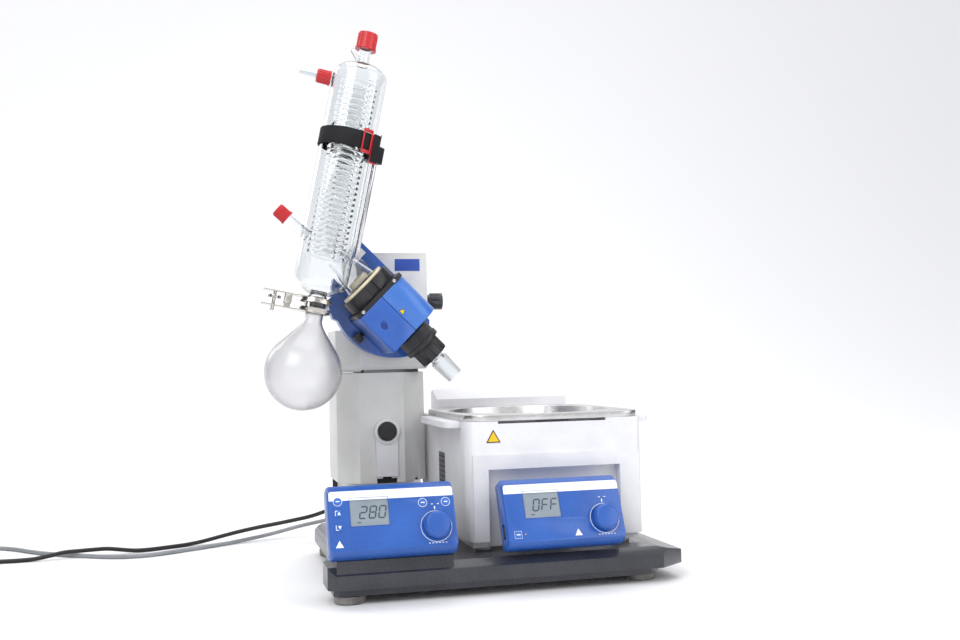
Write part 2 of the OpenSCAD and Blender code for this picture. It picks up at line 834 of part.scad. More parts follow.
module condenser_jacket() {
    w = glass_wall;
    duct_start = -158;
    color(glass_tint) difference() {
        union() {
            glass() rotate_extrude() jacket_profile(0);
            glass() side_ports(port_r, 0);
            glass(jacket_top + 16) rotate([0, -38, 0]) translate([0, 0, 12])
                cylinder(r = 3, h = 22);
            on_axis(duct_start) cylinder(r1 = 18, r2 = 28, h = nut_start + 7 - duct_start);
            on_axis(nut_start + 3.4) cylinder(r = nut_r - 5.6, h = 4.2);
            glass(5) sphere(r = 17.5);
        }
        glass() rotate_extrude() jacket_profile(w);
        glass() side_ports(port_r - w, 1);
        on_axis(duct_start) cylinder(r1 = 18 - w, r2 = 28 - w, h = nut_start + 8 - duct_start);
        glass(-20) cylinder(r = 10, h = 60);
        glass(-25) cylinder(r = 30, h = 22);
    }
}

function helix_point(t) = let (
    turn = 360 * coil_turns,
    rise = jacket_len - 44)
    [26 * cos(turn * t), 26 * sin(turn * t), jacket_bottom + 26 + rise * t];

// Glass cooling coil, one sweep along a helix
module condenser_coil() {
    seg = 12 * coil_turns;
    sides = 6;
    turn = 360 * coil_turns;
    rings = [for (i = [0:seg]) for (k = [0:sides - 1]) let (
        p = helix_point(i / seg), a = turn * i / seg, b = 360 * k / sides)
        [p[0] + 4 * cos(b) * cos(a), p[1] + 4 * cos(b) * sin(a), p[2] + 4 * sin(b)]];
    color(glass_tint) glass() polyhedron(points = rings, faces = concat(
        [[for (k = [0:sides - 1]) k]],
        [[for (k = [sides - 1:-1:0]) seg * sides + k]],
        [for (i = [0:seg - 1]) for (k = [0:sides - 1])
            [i * sides + k, (i + 1) * sides + k, i * sides + (k + 1) % sides]],
        [for (i = [0:seg - 1]) for (k = [0:sides - 1])
            [i * sides + (k + 1) % sides, (i + 1) * sides + k,
             (i + 1) * sides + (k + 1) % sides]]));
}

module screw_cap(r, h, bore) {
    difference() {
        union() {
            cylinder(r = r - 0.8, h = h);
            cylinder(r = r + 1, h = 3);
            for (k = [0:17]) rotate([0, 0, 20 * k]) translate([r - 0.8, 0, 2])
                cylinder(r = 0.9, h = h - 4, $fn = 16);
        }
        translate([0, 0, -1]) cylinder(r = port_r + run_gap + bore, h = h - 2);
    }
}

module screw_caps() {
    color("#c8202c") {
        glass(cap_base) screw_cap(15, 26, 1);
        glass(lower_port_a) rotate([0, -90 + lower_port_rise, 0]) translate([0, 0, lower_cap_at])
            screw_cap(cap_r, cap_len, 0);
        glass(upper_port_a) rotate([0, -90, 0]) translate([0, 0, upper_cap_at]) difference() {
            screw_cap(cap_r, cap_len, 0);
            translate([0, 0, cap_len - 5]) cylinder(r = nipple_r + 0.1, h = 8);
        }
    }
}

module hose_nipple() {
    color("#dfe6ea") glass(upper_port_a) rotate([0, -90, 0]) difference() {
        union() {
            translate([0, 0, upper_cap_at + cap_len - 5]) cylinder(r = nipple_r - 0.2, h = 6);
            translate([0, 0, upper_cap_at + cap_len + 0.5]) cylinder(r = nipple_r, h = nipple_len - 0.5);
            translate([0, 0, upper_cap_at + 15]) cylinder(r = port_r - 0.5, h = 1.6);
        }
        translate([0, 0, 50]) cylinder(r = nipple_r - 1.4, h = 60);
    }
}

module support_rod() {
    color("#d4d6d8") {
        glass(rod_foot_a) rotate([0, 0, rod_turn]) translate([rod_reach, 0, 0])
            cylinder(r = 4, h = rod_len);
        head() difference() {
            translate([-131, head_half - 4, 22]) cube([17, 22, 24]);
            translate([-140, head_half, 40]) cube([24, 30, 30]);
            arm_plate();
        }
    }
}

module rod_holder() {
    color(jet) glass(rod_holder_a) rotate([0, 0, rod_turn]) difference() {
        translate([jacket_r + 2.6, -9, 0]) cube([rod_reach - jacket_r + 5, 18, 26]);
        translate([rod_reach, 0, -1]) cylinder(r = 4 + run_gap, h = 28);
    }
}

module strap() {
    color("#151517") glass(strap_a) {
        ring(jacket_r + 2.4, jacket_r + 0.1, strap_w);
        rotate([0, 0, -20]) translate([jacket_r + 2.3, -14, 0]) cube([2.2, 24, strap_w]);
    }
}

// ---------- joint clamp ----------
module fork(a, reach) {
    translate([0, 0, a]) linear_extrude(1.6) difference() {
        union() {
            circle(r = 25);
            translate([-fork_tail, -12]) square([fork_tail - 18, 24]);
            translate([-30, -20]) square([20, 40]);
        }
        circle(r = reach);
        translate([0, -reach]) square([40, 2 * reach]);
    }
}

// Dished rim under or over a fork, open at the front like the fork
module fork_rim(a, low, high, reach) {
    translate([0, 0, a]) difference() {
        cylinder(r1 = low, r2 = high, h = 6);
        translate([0, 0, -eps]) cylinder(r1 = low - 1.4, r2 = high - 1.4, h = 6 + 2 * eps);
        translate([0, -reach, -1]) cube([40, 2 * reach, 8]);
        translate([-40, -14, -1]) cube([40, 28, 8]);
    }
}

module clamp_fixed_jaw() {
    color(steel) glass() {
        fork_rim(5.2, 27.5, 24.8, 17.2);
        difference() {
            fork(11, 17.2);
            translate([clamp_screw_b, 0, 5]) cylinder(r = 2.4, h = 20);
        }
        for (y = [-11.8, 10.2]) translate([clamp_pin_b - 5, y, -3]) cube([10, 1.6, 14.2]);
        translate([clamp_pin_b, -15, 2]) rotate([-90, 0, 0]) cylinder(r = 2, h = 30);
        translate([clamp_screw_b, 0, -17]) cylinder(r = 2.4, h = 29.6);
    }
}

module clamp_swing_jaw() {
    color(steel) glass() difference() {
        union() {
            fork(-10, 14.4);
            fork_rim(-8.6, 24.8, 27, 14.4);
            for (y = [-9.8, 8.2]) translate([clamp_pin_b - 4, y, -8.5]) cube([8, 1.6, 14.5]);
        }
        translate([clamp_pin_b, -20, 2]) rotate([-90, 0, 0])
            cylinder(r = 2 + run_gap, h = 40);
        translate([clamp_screw_b - 4.5, -3.4, -14]) cube([9, 6.8, 12]);
    }
}

module clamp_nut() {
    color(steel) glass(1.5) translate([clamp_screw_b, 0, 0]) difference() {
        union() {
            cylinder(r = 8.5, h = 4.5);
            for (k = [0:11]) rotate([0, 0, 30 * k]) translate([8.2, 0, 0])
                cylinder(r = 1, h = 4.5, $fn = 16);
        }
        translate([0, 0, -1]) cylinder(r = 2.4 + run_gap, h = 8);
    }
}

module flask_profile(i) {
    r = flask_r - i;
    difference() {
        union() {
            translate([0, -flask_drop]) circle(r);
            translate([0, -flask_drop + 40]) square([neck_r - i, flask_drop - 46]);
            polygon([[0, -flask_drop], [r * cos(38), -flask_drop + r * sin(38)],
                [25 - i, -40], [18.5 - i, -32], [neck_r - i, -20], [0, -20]]);
            if (i == 0) translate([0, -8]) square([17.5, 4.6]);
        }
        translate([-100, -300]) square([100, 400]);
    }
}

module receiving_flask() {
    color(glass_tint) difference() {
        glass() rotate_extrude() flask_profile(0);
        glass() rotate_extrude() flask_profile(glass_wall);
        glass(-30) cylinder(r = neck_r - glass_wall, h = 40);
    }
}

// ---------- control panels ----------
module panel_block() {
    hull() {
        translate([0, -panel_h, -1]) linear_extrude(1) rounded(panel_w, panel_h, 4, $fn = 32);
        translate([-2, -panel_h - panel_drop, -panel_back_step]) linear_extrude(1)
            rounded(panel_w + 4, panel_h + panel_drop + panel_rise, 6, $fn = 32);
    }
    translate([-2, -panel_h - panel_drop, -panel_t]) linear_extrude(panel_t - panel_back_step)
        rounded(panel_w + 4, panel_h + panel_drop + panel_rise, 6);
}

module panel_case(round_keys, square_keys) {
    w = face_wall;
    difference() {
        panel_block();
        translate([3, -panel_h + 3, -panel_t + w]) cube([panel_w - 6, panel_h - 6,
            panel_t - 2 * w]);
        translate([40, -60, -panel_t - 1]) cube([60, 30, w + 2]);
        translate([lcd_at[0], lcd_at[1], -w - 1]) cube([lcd_size[0], lcd_size[1], w + 2]);
        translate([knob_at[0], knob_at[1], -w - 1]) cylinder(r = shaft_r + run_gap, h = w + 2);
        for (p = round_keys) translate([p[0], p[1], -w - 1])
            cylinder(r = key_r + slide_gap, h = w + 2);
        for (p = square_keys) translate([p[0] - key_w / 2 - slide_gap,
            p[1] - key_w / 2 - slide_gap, -w - 1])
            cube([key_w + 2 * slide_gap, key_w + 2 * slide_gap, w + 2]);
    }
}

// Display glass with its circuit board behind it
module display_unit() {
    g = 0.2;
    color("#9aa7a6") translate([lcd_at[0] + g, lcd_at[1] + g, -3])
        cube([lcd_size[0] - 2 * g, lcd_size[1] - 2 * g, 2.2]);
    color("#2e6b46") translate([12, -panel_h + 10, -panel_t + face_wall + 2])
        cube([panel_w - 24, panel_h - 20, 1.6]);
}

module encoder_shaft() {
    translate([knob_at[0], knob_at[1], -18]) {
        cylinder(r = shaft_r, h = 18 + shaft_out);
        cylinder(r = 6, h = 9);
    }
}

module control_knob() {
    translate([knob_at[0], knob_at[1], knob_lift]) difference() {
        union() {
            cylinder(r = knob_r, h = knob_h - 4);
            translate([0, 0, knob_h - 4 - eps]) cylinder(r1 = knob_r, r2 = knob_r - 3, h = 4);
        }
        translate([0, 0, -1]) cylinder(r = shaft_r + run_gap, h = shaft_out - knob_lift + 2.2);
    }
}

module round_key(p) {
    translate([p[0], p[1], -face_wall - 0.5]) cylinder(r = key_r, h = face_wall + 0.5 + key_out);
}

module square_key(p) {
    translate([p[0] - key_w / 2, p[1] - key_w / 2, -face_wall - 0.5])
        cube([key_w, key_w, face_wall + 0.5 + key_out]);
}

timer_at = [12, -14.3];
up_at = [11.5, -30];
down_at = [11.5, -49];
interval_at = [123.7, -21.5];
mode_at = [154.5, -21.8];
bath_key_at = [13.8, -70];

module drive_panel_case() {
    color(console_blue) drive_face() panel_case([timer_at, interval_at, mode_at],
        [up_at, down_at]);
}

module drive_display() {
    drive_face() display_unit();
}

module speed_shaft() {
    color(steel) drive_face() encoder_shaft();
}

module speed_knob() {
    color(console_blue) drive_face() control_knob();
}

module timer_key() {
    color("#dfe8f6") drive_face() round_key(timer_at);
}

module lift_up_key() {
    color("#dfe8f6") drive_face() square_key(up_at);
}

module lift_down_key() {
    color("#dfe8f6") drive_face() square_key(down_at);
}

module interval_key() {
    color("#dfe8f6") drive_face() round_key(interval_at);
}

module mode_key() {
    color("#dfe8f6") drive_face() round_key(mode_at);
}

// ---------- bath ----------
module bath_housing() {
    w = bath_wall;
    depth = bath_back - bath_front;
    color(off_white) place() difference() {
        union() {
            translate([bath_x, bath_front, bath_bottom])
                linear_extrude(bath_top - bath_bottom) rounded(bath_w, depth, 16);
            // raised frame round the panel
            translate([bath_x + 8, bath_front - 3, bath_bottom])
                cube([bath_w - 16, 8, step_top - bath_bottom]);
            // grip lips
            for (x = [bath_x - grip_reach, bath_right - 4])
                translate([x, bath_front + 30, bath_top - 9]) linear_extrude(9)
                    rounded(grip_reach + 4, 180, 11);
            // rear hood
            translate([hood_x0, 0, 0]) rotate([90, 0, 90]) linear_extrude(hood_w) polygon([
                [bath_front + rim_depth + 1, bath_top - 1],
                [bath_front + rim_depth + 1, rim_z + 14],
                [bath_back - 12, rim_z + 30], [bath_back, rim_z + 24],
                [bath_back, bath_top - 1]]);
            // plinth and feet
            translate([bath_x + 8, bath_front + 6, bath_bottom - 9])
                cube([bath_w - 16, depth - 14, 10]);
            for (x = [bath_x + 28, bath_right - 28], y = [bath_front + 26, bath_back - 30])
                translate([x, y, tray_z + 0.2]) cylinder(r = 12, h = bath_foot_h);
        }
        translate([bath_x + w, bath_front + w + 24, bath_bottom])
            linear_extrude(bath_top - bath_bottom - w)
            rounded(bath_w - 2 * w, depth - 2 * w - 24, 14);
        translate([bath_mid, head_y, rim_z - basin_depth - 4])
            cylinder(r = basin_r + 2.5, h = basin_depth + 10);
        // recess behind the panel
        translate([recess_x0, bath_front - 10, bath_bottom - 20])
            cube([recess_x1 - recess_x0, recess_depth + 10, recess_top - bath_bottom + 20]);
        // dark slot under the rim
        translate([bath_x + 46, bath_front - 1, bath_top - 3.5]) cube([161, 20, 4]);
        // vent on each side
        for (x = [bath_x - 1, bath_right - 1.5]) translate([x, bath_front + 140, 95])
            cube([2.5, 45, 80]);
        translate([bath_cord_x, bath_back - w - 1, bath_cord_z]) rotate([-90, 0, 0])
            cylinder(r = 6, h = w + 2);
    }
}

module bath_basin() {
    w = 1.2;
    x0 = bath_x - 1;
    color(steel) place() difference() {
        union() {
            difference() {
                translate([x0, bath_front, bath_top]) linear_extrude(rim_z - bath_top)
                    rounded(bath_w + 2, rim_depth, 34);
                translate([x0 + 2, bath_front + 2, bath_top - 1])
                    linear_extrude(rim_z - bath_top - 1) rounded(bath_w - 2, rim_depth - 4, 32);
            }
            translate([bath_mid, head_y, rim_z - basin_depth - w])
                cylinder(r = basin_r + w, h = basin_depth + w);
        }
        translate([bath_mid, head_y, rim_z - basin_depth]) cylinder(r = basin_r,
            h = basin_depth + 5);
    }
}

module bath_heater() {
    z = rim_z - basin_depth - 8;
    color("#7c6a5c") place() translate([bath_mid, head_y, z]) {
        rotate_extrude() translate([82, 0]) circle(r = 5);
        rotate_extrude() translate([46, 0]) circle(r = 5);
    }
}

module bath_panel_case() {
    color(console_blue) {
        bath_face() difference() {
            panel_case([], [bath_key_at]);
            translate([rocker_at[0] - 6, rocker_at[1] - 10, rocker_at[2] - 5.5])
                cube([20, 20, 11]);
        }
        difference() {
            place() translate([bath_panel_x + 24, 0, 0]) rotate([90, 0, 90])
                linear_extrude(panel_w - 48) polygon([
                    [bath_panel_y + panel_t * cos(panel_lean) - 10, bath_panel_z - 14],
                    [bath_panel_y + panel_t * cos(panel_lean) - 28.5, bath_panel_z - 56],
                    [bath_front + recess_depth, bath_panel_z - 56],
                    [bath_front + recess_depth, bath_panel_z - 14]]);
            bath_face() panel_room(1);
        }
    }
}

module bath_display() {
    bath_face() display_unit();
}

module bath_shaft() {
    color(steel) bath_face() encoder_shaft();
}

module bath_knob() {
    color(console_blue) bath_face() control_knob();
}

module bath_key() {
    color("#dfe8f6") bath_face() square_key(bath_key_at);
}

module bath_switch() {
    s = rocker_size;
    color(jet) bath_face() translate(rocker_at) {
        translate([-1.4, -s[1] / 2, -s[2] / 2]) cube(s);
        translate([3, 0, -5.4]) cylinder(r = 1.2, h = 10.8);
    }
}

// ---------- cords ----------
function unit(v) = v / norm(v);
function rung(p, i) = unit(p[min(i + 1, len(p) - 1)] - p[max(i - 1, 0)]);
function side_of(t) = unit(cross(t, abs(t[2]) > 0.9 ? [1, 0, 0] : [0, 0, 1]));

// A tube of radius r along the points p, one polyhedron
module tube(p, r, sides) {
    n = len(p);
    rings = [for (i = [0:n - 1]) let (t = rung(p, i), u = side_of(t), v = cross(u, t))
        for (k = [0:sides - 1]) let (a = 360 * k / sides)
            p[i] + r * cos(a) * u + r * sin(a) * v];
    polyhedron(points = rings, faces = concat(
        [[for (k = [0:sides - 1]) k]],
        [[for (k = [sides - 1:-1:0]) (n - 1) * sides + k]],
        [for (i = [0:n - 2]) for (k = [0:sides - 1])
            [i * sides + k, (i + 1) * sides + k, i * sides + (k + 1) % sides]],
        [for (i = [0:n - 2]) for (k = [0:sides - 1])
            [i * sides + (k + 1) % sides, (i + 1) * sides + k,
             (i + 1) * sides + (k + 1) % sides]]));
}

module gland() {
    rotate([-90, 0, 0]) {
        cylinder(r = 8, h = 3);
        translate([0, 0, 3]) cylinder(r1 = 6, r2 = 4.4, h = gland_len - 3);
    }
}

module coil_ring(h) {
    rotate_extrude() translate([coil_r - coil_half, 0]) square([2 * coil_half, h]);
}

// Two-pin plug whose lead enters at the origin and whose pins point along +Y
module mains_plug(entry_z) {
    translate([0, 0, entry_z]) rotate([-90, 0, 0]) {
        cylinder(r1 = 4.2, r2 = 6.5, h = relief_len);
        translate([0, -(plug_r - entry_z), relief_len]) {
            cylinder(r1 = 12, r2 = plug_r, h = 10);
            translate([0, 0, 10]) cylinder(r = plug_r, h = plug_len - 10);
            for (x = [-9.5, 9.5]) translate([x, 0, plug_len - 1]) cylinder(r = 2.4, h = 20);
        }
    }
}

module drive_cord_gland() {
    color(jet) place() translate(drive_gland) gland();
}

module drive_cord() {
    color(jet) place() tube(drive_route, cord_r, 8);
}

module drive_cord_coil() {
    color(jet) place() translate([drive_coil_at[0], drive_coil_at[1], 0])
        coil_ring(drive_coil_h);
}

module drive_plug() {
    color(jet) place() translate([drive_coil_at[0] - 42, drive_coil_at[1] + 19, 0])
        mains_plug(17.5);
}

module bath_cord_gland() {
    color(jet) place() translate([bath_cord_x, bath_back, bath_cord_z]) gland();
}

module bath_cord() {
    color("#8d9094") place() tube(bath_route, cord_r, 8);
}

module bath_cord_coil() {
    color("#8d9094") place() translate([bath_coil_at[0], bath_coil_at[1], 0])
        coil_ring(bath_coil_h);
}

module bath_plug() {
    color("#8d9094") place() translate([bath_coil_at[0] - 42, bath_coil_at[1] + 19, 0])
        mains_plug(11);
}

base_plate();
levelling_feet();
tower_shell();
tower_rear_cover();
tower_frame();
lift_screw();
drive_panel_case();
drive_display();
drive_cord_gland();
drive_cord();
drive_cord_coil();
drive_plug();
speed_shaft();
speed_knob();
timer_key();
lift_up_key();
lift_down_key();
interval_key();
mode_key();
bath_housing();
bath_basin();
bath_heater();
bath_panel_case();
bath_display();
bath_shaft();
bath_knob();
bath_key();
bath_switch();
bath_cord_gland();
bath_cord();
bath_cord_coil();
bath_plug();
stop_slider();
stop_button();
lift_sleeve();
lift_column();
lift_carriage();
tilt_knob();
head_arm();
head_case();
head_cover();
head_motor();
head_flange();
union_nut();
vapour_seal();
vapour_tube();
spindle_hub();
push_off_nut();
spindle_lock();
condenser_jacket();
condenser_coil();
screw_caps();
hose_nipple();
support_rod();
rod_holder();
strap();
clamp_fixed_jaw();
clamp_swing_jaw();
clamp_nut();
receiving_flask();
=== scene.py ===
from math import cos, hypot, pi, radians, sin

import bpy
from bpy.props import FloatProperty, FloatVectorProperty, PointerProperty
from mathutils import Matrix, Vector


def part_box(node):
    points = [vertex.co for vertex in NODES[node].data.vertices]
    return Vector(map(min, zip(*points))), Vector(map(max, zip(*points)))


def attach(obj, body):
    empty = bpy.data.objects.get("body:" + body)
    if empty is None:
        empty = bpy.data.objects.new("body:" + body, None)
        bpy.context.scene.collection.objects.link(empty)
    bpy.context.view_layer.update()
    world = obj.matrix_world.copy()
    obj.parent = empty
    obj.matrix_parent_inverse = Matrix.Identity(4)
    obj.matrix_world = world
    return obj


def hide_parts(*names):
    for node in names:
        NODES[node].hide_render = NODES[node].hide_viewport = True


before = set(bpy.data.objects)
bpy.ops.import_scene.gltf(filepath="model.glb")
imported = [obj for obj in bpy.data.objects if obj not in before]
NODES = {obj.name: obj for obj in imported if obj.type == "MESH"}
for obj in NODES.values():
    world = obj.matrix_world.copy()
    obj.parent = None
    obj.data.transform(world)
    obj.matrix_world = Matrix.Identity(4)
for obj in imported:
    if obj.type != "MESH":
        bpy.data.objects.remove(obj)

bl_info = {
    "name": "Rotary Evaporator",
    "version": (1, 0, 0),
    "blender": (4, 5, 0),
    "location": "View3D > Sidebar > Evaporator",
    "description": "Dresses the rotary evaporator frame with glass, print and finishes",
    "category": "Object",
}

MM = 0.001
TURN = 2 * pi

# Places of the main frames, in millimetres on the bench
BASE_LOW, BASE_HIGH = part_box("base_plate")
# The base's left edge is at -3 and its back edge at 430 on the bench
ORIGIN = Vector((-3.0 - BASE_LOW[0] / MM, 430.0 - BASE_HIGH[1] / MM, 0.0))
HEAD_AT = Vector((140.041, 210.0, 370.27))
HEAD_SLOPE = radians(45)
GLASS_AT = Vector((9.041, 210.0, 398.27))
GLASS_LEAN = radians(11.8)
PANEL_LEAN = radians(23.6)
DRIVE_PANEL_AT = Vector((-1.0, 13.0, 148.4))
BATH_PANEL_AT = Vector((235.5, 18.6, 144.7))

# Places on a panel's face, in millimetres right of and above its top left corner
TIMER_KEY = (12, -14.3)
INTERVAL_KEY = (123.7, -21.5)
MODE_KEY = (154.5, -21.8)
UP_KEY = (11.5, -30)
DOWN_KEY = (11.5, -49)
BATH_KEY = (13.8, -70)
KNOB = (139, -54)
DISPLAY_LOW = (27, -48.5)
DISPLAY_HIGH = (78, -10.5)
# Heights of the print above the panel's face, on a key and on the display
FACE_LIFT = 0.12
KEY_LIFT = 0.82
DISPLAY_LIFT = -0.72

# Glassware, in millimetres from the ball joint up the condenser
JACKET_R = 41.0
JACKET_LOW = 42.0
JACKET_HIGH = 352.0
JACKET_WALL = 2.0
FLASK_R = 57.0
FLASK_MID = -98.0
FLASK_WALL = 1.8
NECK_R = 13.5
STRAP_MID = 252.5

# Slots of the wound leads: radius of the outer and inner laps, and rise of a layer
OUTER_LAP = 42.1
INNER_LAP = 34.9
LAYER_RISE = 7.05
FLOOR_LAP = 3.6

# Route of the black lead, in millimetres on the bench
DRIVE_ROUTE = [
    (78, 452, 76), (76, 478, 71), (65, 503, 62), (48, 524, 53), (29, 541, 45), (-5, 556, 37),
    (-32, 563, 32), (-60, 570, 27), (-92, 580, 20), (-125, 588, 12), (-157, 583, 6),
    (-186, 572, 3.7), (-214, 559, 3.6), (-242, 547, 3.6), (-266, 541, 4.4), (-289, 539, 7.6),
    (-311, 537, 10.8), (-334, 533, 11.2), (-356, 529, 11.2), (-378, 525, 10.8),
    (-400, 520, 7.4), (-422, 517, 4.4), (-446, 516, 3.6), (-472, 517, 3.6), (-500, 518, 3.6),
    (-528, 518, 3.6), (-556, 518, 3.6)]
# Route of the grey lead, in millimetres on the bench
BATH_ROUTE = [
    (300, 419, 85), (300, 444, 84), (296, 472, 81), (284, 502, 75), (264, 530, 68),
    (236, 553, 60), (204, 573, 53), (170, 588, 46), (136, 599, 40), (100, 606, 34),
    (63, 610, 27), (18, 612, 19), (-15, 605, 13), (-45, 596, 8.5), (-73, 586, 5.5),
    (-103, 569, 3.8), (-131, 550, 3.6), (-158, 533, 3.6), (-184, 518, 3.6), (-211, 502, 3.6),
    (-237, 491, 3.6), (-262, 487, 3.6), (-287, 490, 3.6), (-314, 502, 3.6), (-341, 520, 3.6),
    (-365, 536, 3.6), (-388, 552, 3.6), (-413, 573, 3.6), (-438, 600, 3.6), (-462, 630, 3.6),
    (-489, 656, 3.6), (-520, 672, 3.6), (-552, 678, 3.6), (-584, 678, 3.6)]


# ---------- places ----------
def on_bench(x, y, z):
    return (Vector((x, y, z)) - ORIGIN) * MM


def basis(at, across, up, out):
    """A matrix whose axes are across, up and out, at a bench point, taking millimetres."""
    m = Matrix((across, up, out)).transposed().to_4x4()
    return Matrix.Translation((at - ORIGIN) * MM) @ m @ Matrix.Scale(MM, 4)


# Z runs down the drive axis, X square to it towards the upper right, Y back
DRIVE_AXIS = basis(
    HEAD_AT, Vector((sin(HEAD_SLOPE), 0, cos(HEAD_SLOPE))), Vector((0, -1, 0)),
    Vector((cos(HEAD_SLOPE), 0, -sin(HEAD_SLOPE))))
# Z runs up the condenser
GLASS = basis(
    GLASS_AT, Vector((cos(GLASS_LEAN), 0, -sin(GLASS_LEAN))), Vector((0, 1, 0)),
    Vector((sin(GLASS_LEAN), 0, cos(GLASS_LEAN))))
# X runs down the drive axis on the head's near side, Y square to it, Z out of the side
HEAD_FACE = basis(
    HEAD_AT + Vector((0, -47, 0)), Vector((cos(HEAD_SLOPE), 0, -sin(HEAD_SLOPE))),
    Vector((sin(HEAD_SLOPE), 0, cos(HEAD_SLOPE))), Vector((0, -1, 0)))
UP_FACE = Vector((0, sin(PANEL_LEAN), cos(PANEL_LEAN)))
OUT_FACE = Vector((0, -cos(PANEL_LEAN), sin(PANEL_LEAN)))
DRIVE_FACE = basis(DRIVE_PANEL_AT, Vector((1, 0, 0)), UP_FACE, OUT_FACE)
BATH_FACE = basis(BATH_PANEL_AT, Vector((1, 0, 0)), UP_FACE, OUT_FACE)
BENCH = Matrix.Translation(-ORIGIN * MM) @ Matrix.Scale(MM, 4)


def port(along, tilt):
    """The glass frame moved up the condenser and turned so that Z leaves by a side port."""
    return GLASS @ Matrix.Translation((0, 0, along)) @ Matrix.Rotation(tilt - pi / 2, 4, "Y")


# ---------- materials ----------
def linear(hex_colour):
    channels = [int(hex_colour[i:i + 2], 16) / 255 for i in (1, 3, 5)]
    return [c / 12.92 if c <= 0.04045 else ((c + 0.055) / 1.055) ** 2.4
            for c in channels] + [1.0]


def add(mat, kind, settings=None, links=None):
    """Adds a node, sets its properties and inputs, and links its inputs to other outputs."""
    n = mat.node_tree.nodes.new(kind)
    for key, value in (settings or {}).items():
        if isinstance(key, int) or key in n.inputs:
            n.inputs[key].default_value = value
        else:
            setattr(n, key, value)
    for key, source in (links or {}).items():
        mat.node_tree.links.new(source, n.inputs[key])
    return n


def blank(name):
    """A new material with one principled shader, and the shader."""
    mat = bpy.data.materials.new(name)
    mat.use_nodes = True
    mat.node_tree.nodes.clear()
    shader = add(mat, "ShaderNodeBsdfPrincipled")
    add(mat, "ShaderNodeOutputMaterial", links={"Surface": shader.outputs[0]})
    return mat, shader


def surface(name, light, dark, rough, grain=1.2, bump=0.04, metallic=0.0, coat=0.0,
            stretch=(1, 1, 1), spread=0.06, patches=40.0):
    """One solid finish: a fine grain of grain mm, and slow patches of colour and gloss."""
    mat, shader = blank(name)
    place = add(mat, "ShaderNodeTexCoord").outputs["Object"]
    mapped = add(mat, "ShaderNodeMapping", {"Scale": stretch}, {"Vector": place}).outputs[0]
    fine = add(mat, "ShaderNodeTexNoise", {"Scale": 1 / (grain * MM), "Detail": 3.0},
               {"Vector": mapped}).outputs["Fac"]
    slow = add(mat, "ShaderNodeTexNoise", {"Scale": 1 / (patches * MM), "Detail": 2.0},
               {"Vector": place}).outputs["Fac"]
    mixed = add(mat, "ShaderNodeMath", {"operation": "MULTIPLY_ADD", 1: 0.5},
                {0: fine, 2: slow}).outputs[0]
    ramp = add(mat, "ShaderNodeValToRGB", {}, {"Fac": mixed})
    ramp.color_ramp.elements[0].position = 0.45
    ramp.color_ramp.elements[0].color = linear(dark)
    ramp.color_ramp.elements[1].position = 1.0
    ramp.color_ramp.elements[1].color = linear(light)
    gloss = add(mat, "ShaderNodeMapRange", {"From Min": 0.3, "From Max": 0.7,
                "To Min": rough - spread, "To Max": rough + spread}, {"Value": fine})
    relief = add(mat, "ShaderNodeBump", {"Strength": bump, "Distance": 0.1 * MM},
                 {"Height": fine})
    links = mat.node_tree.links
    links.new(ramp.outputs[0], shader.inputs["Base Color"])
    links.new(gloss.outputs[0], shader.inputs["Roughness"])
    links.new(relief.outputs[0], shader.inputs["Normal"])
    shader.inputs["Metallic"].default_value = metallic
    shader.inputs["Coat Weight"].default_value = coat
    shader.inputs["Coat Roughness"].default_value = 0.12
    return mat


def plain(name, colour, rough):
    """An even matt finish for the studio's own surfaces."""
    mat, shader = blank(name)
    shader.inputs["Base Color"].default_value = linear(colour)
    shader.inputs["Roughness"].default_value = rough
    return mat


def glass(name, tint, rough, ior=1.473):
    """Clear wall with a faint waviness, as drawn and blown glass has."""
    mat, shader = blank(name)
    place = add(mat, "ShaderNodeTexCoord").outputs["Object"]
    wave = add(mat, "ShaderNodeTexNoise", {"Scale": 60.0, "Detail": 1.0},
               {"Vector": place}).outputs["Fac"]
    relief = add(mat, "ShaderNodeBump", {"Strength": 0.06, "Distance": 0.3 * MM},
                 {"Height": wave})
    mat.node_tree.links.new(relief.outputs[0], shader.inputs["Normal"])
    shader.inputs["Base Color"].default_value = linear(tint)
    shader.inputs["Roughness"].default_value = rough
    shader.inputs["IOR"].default_value = ior
    shader.inputs["Transmission Weight"].default_value = 1.0
    return mat


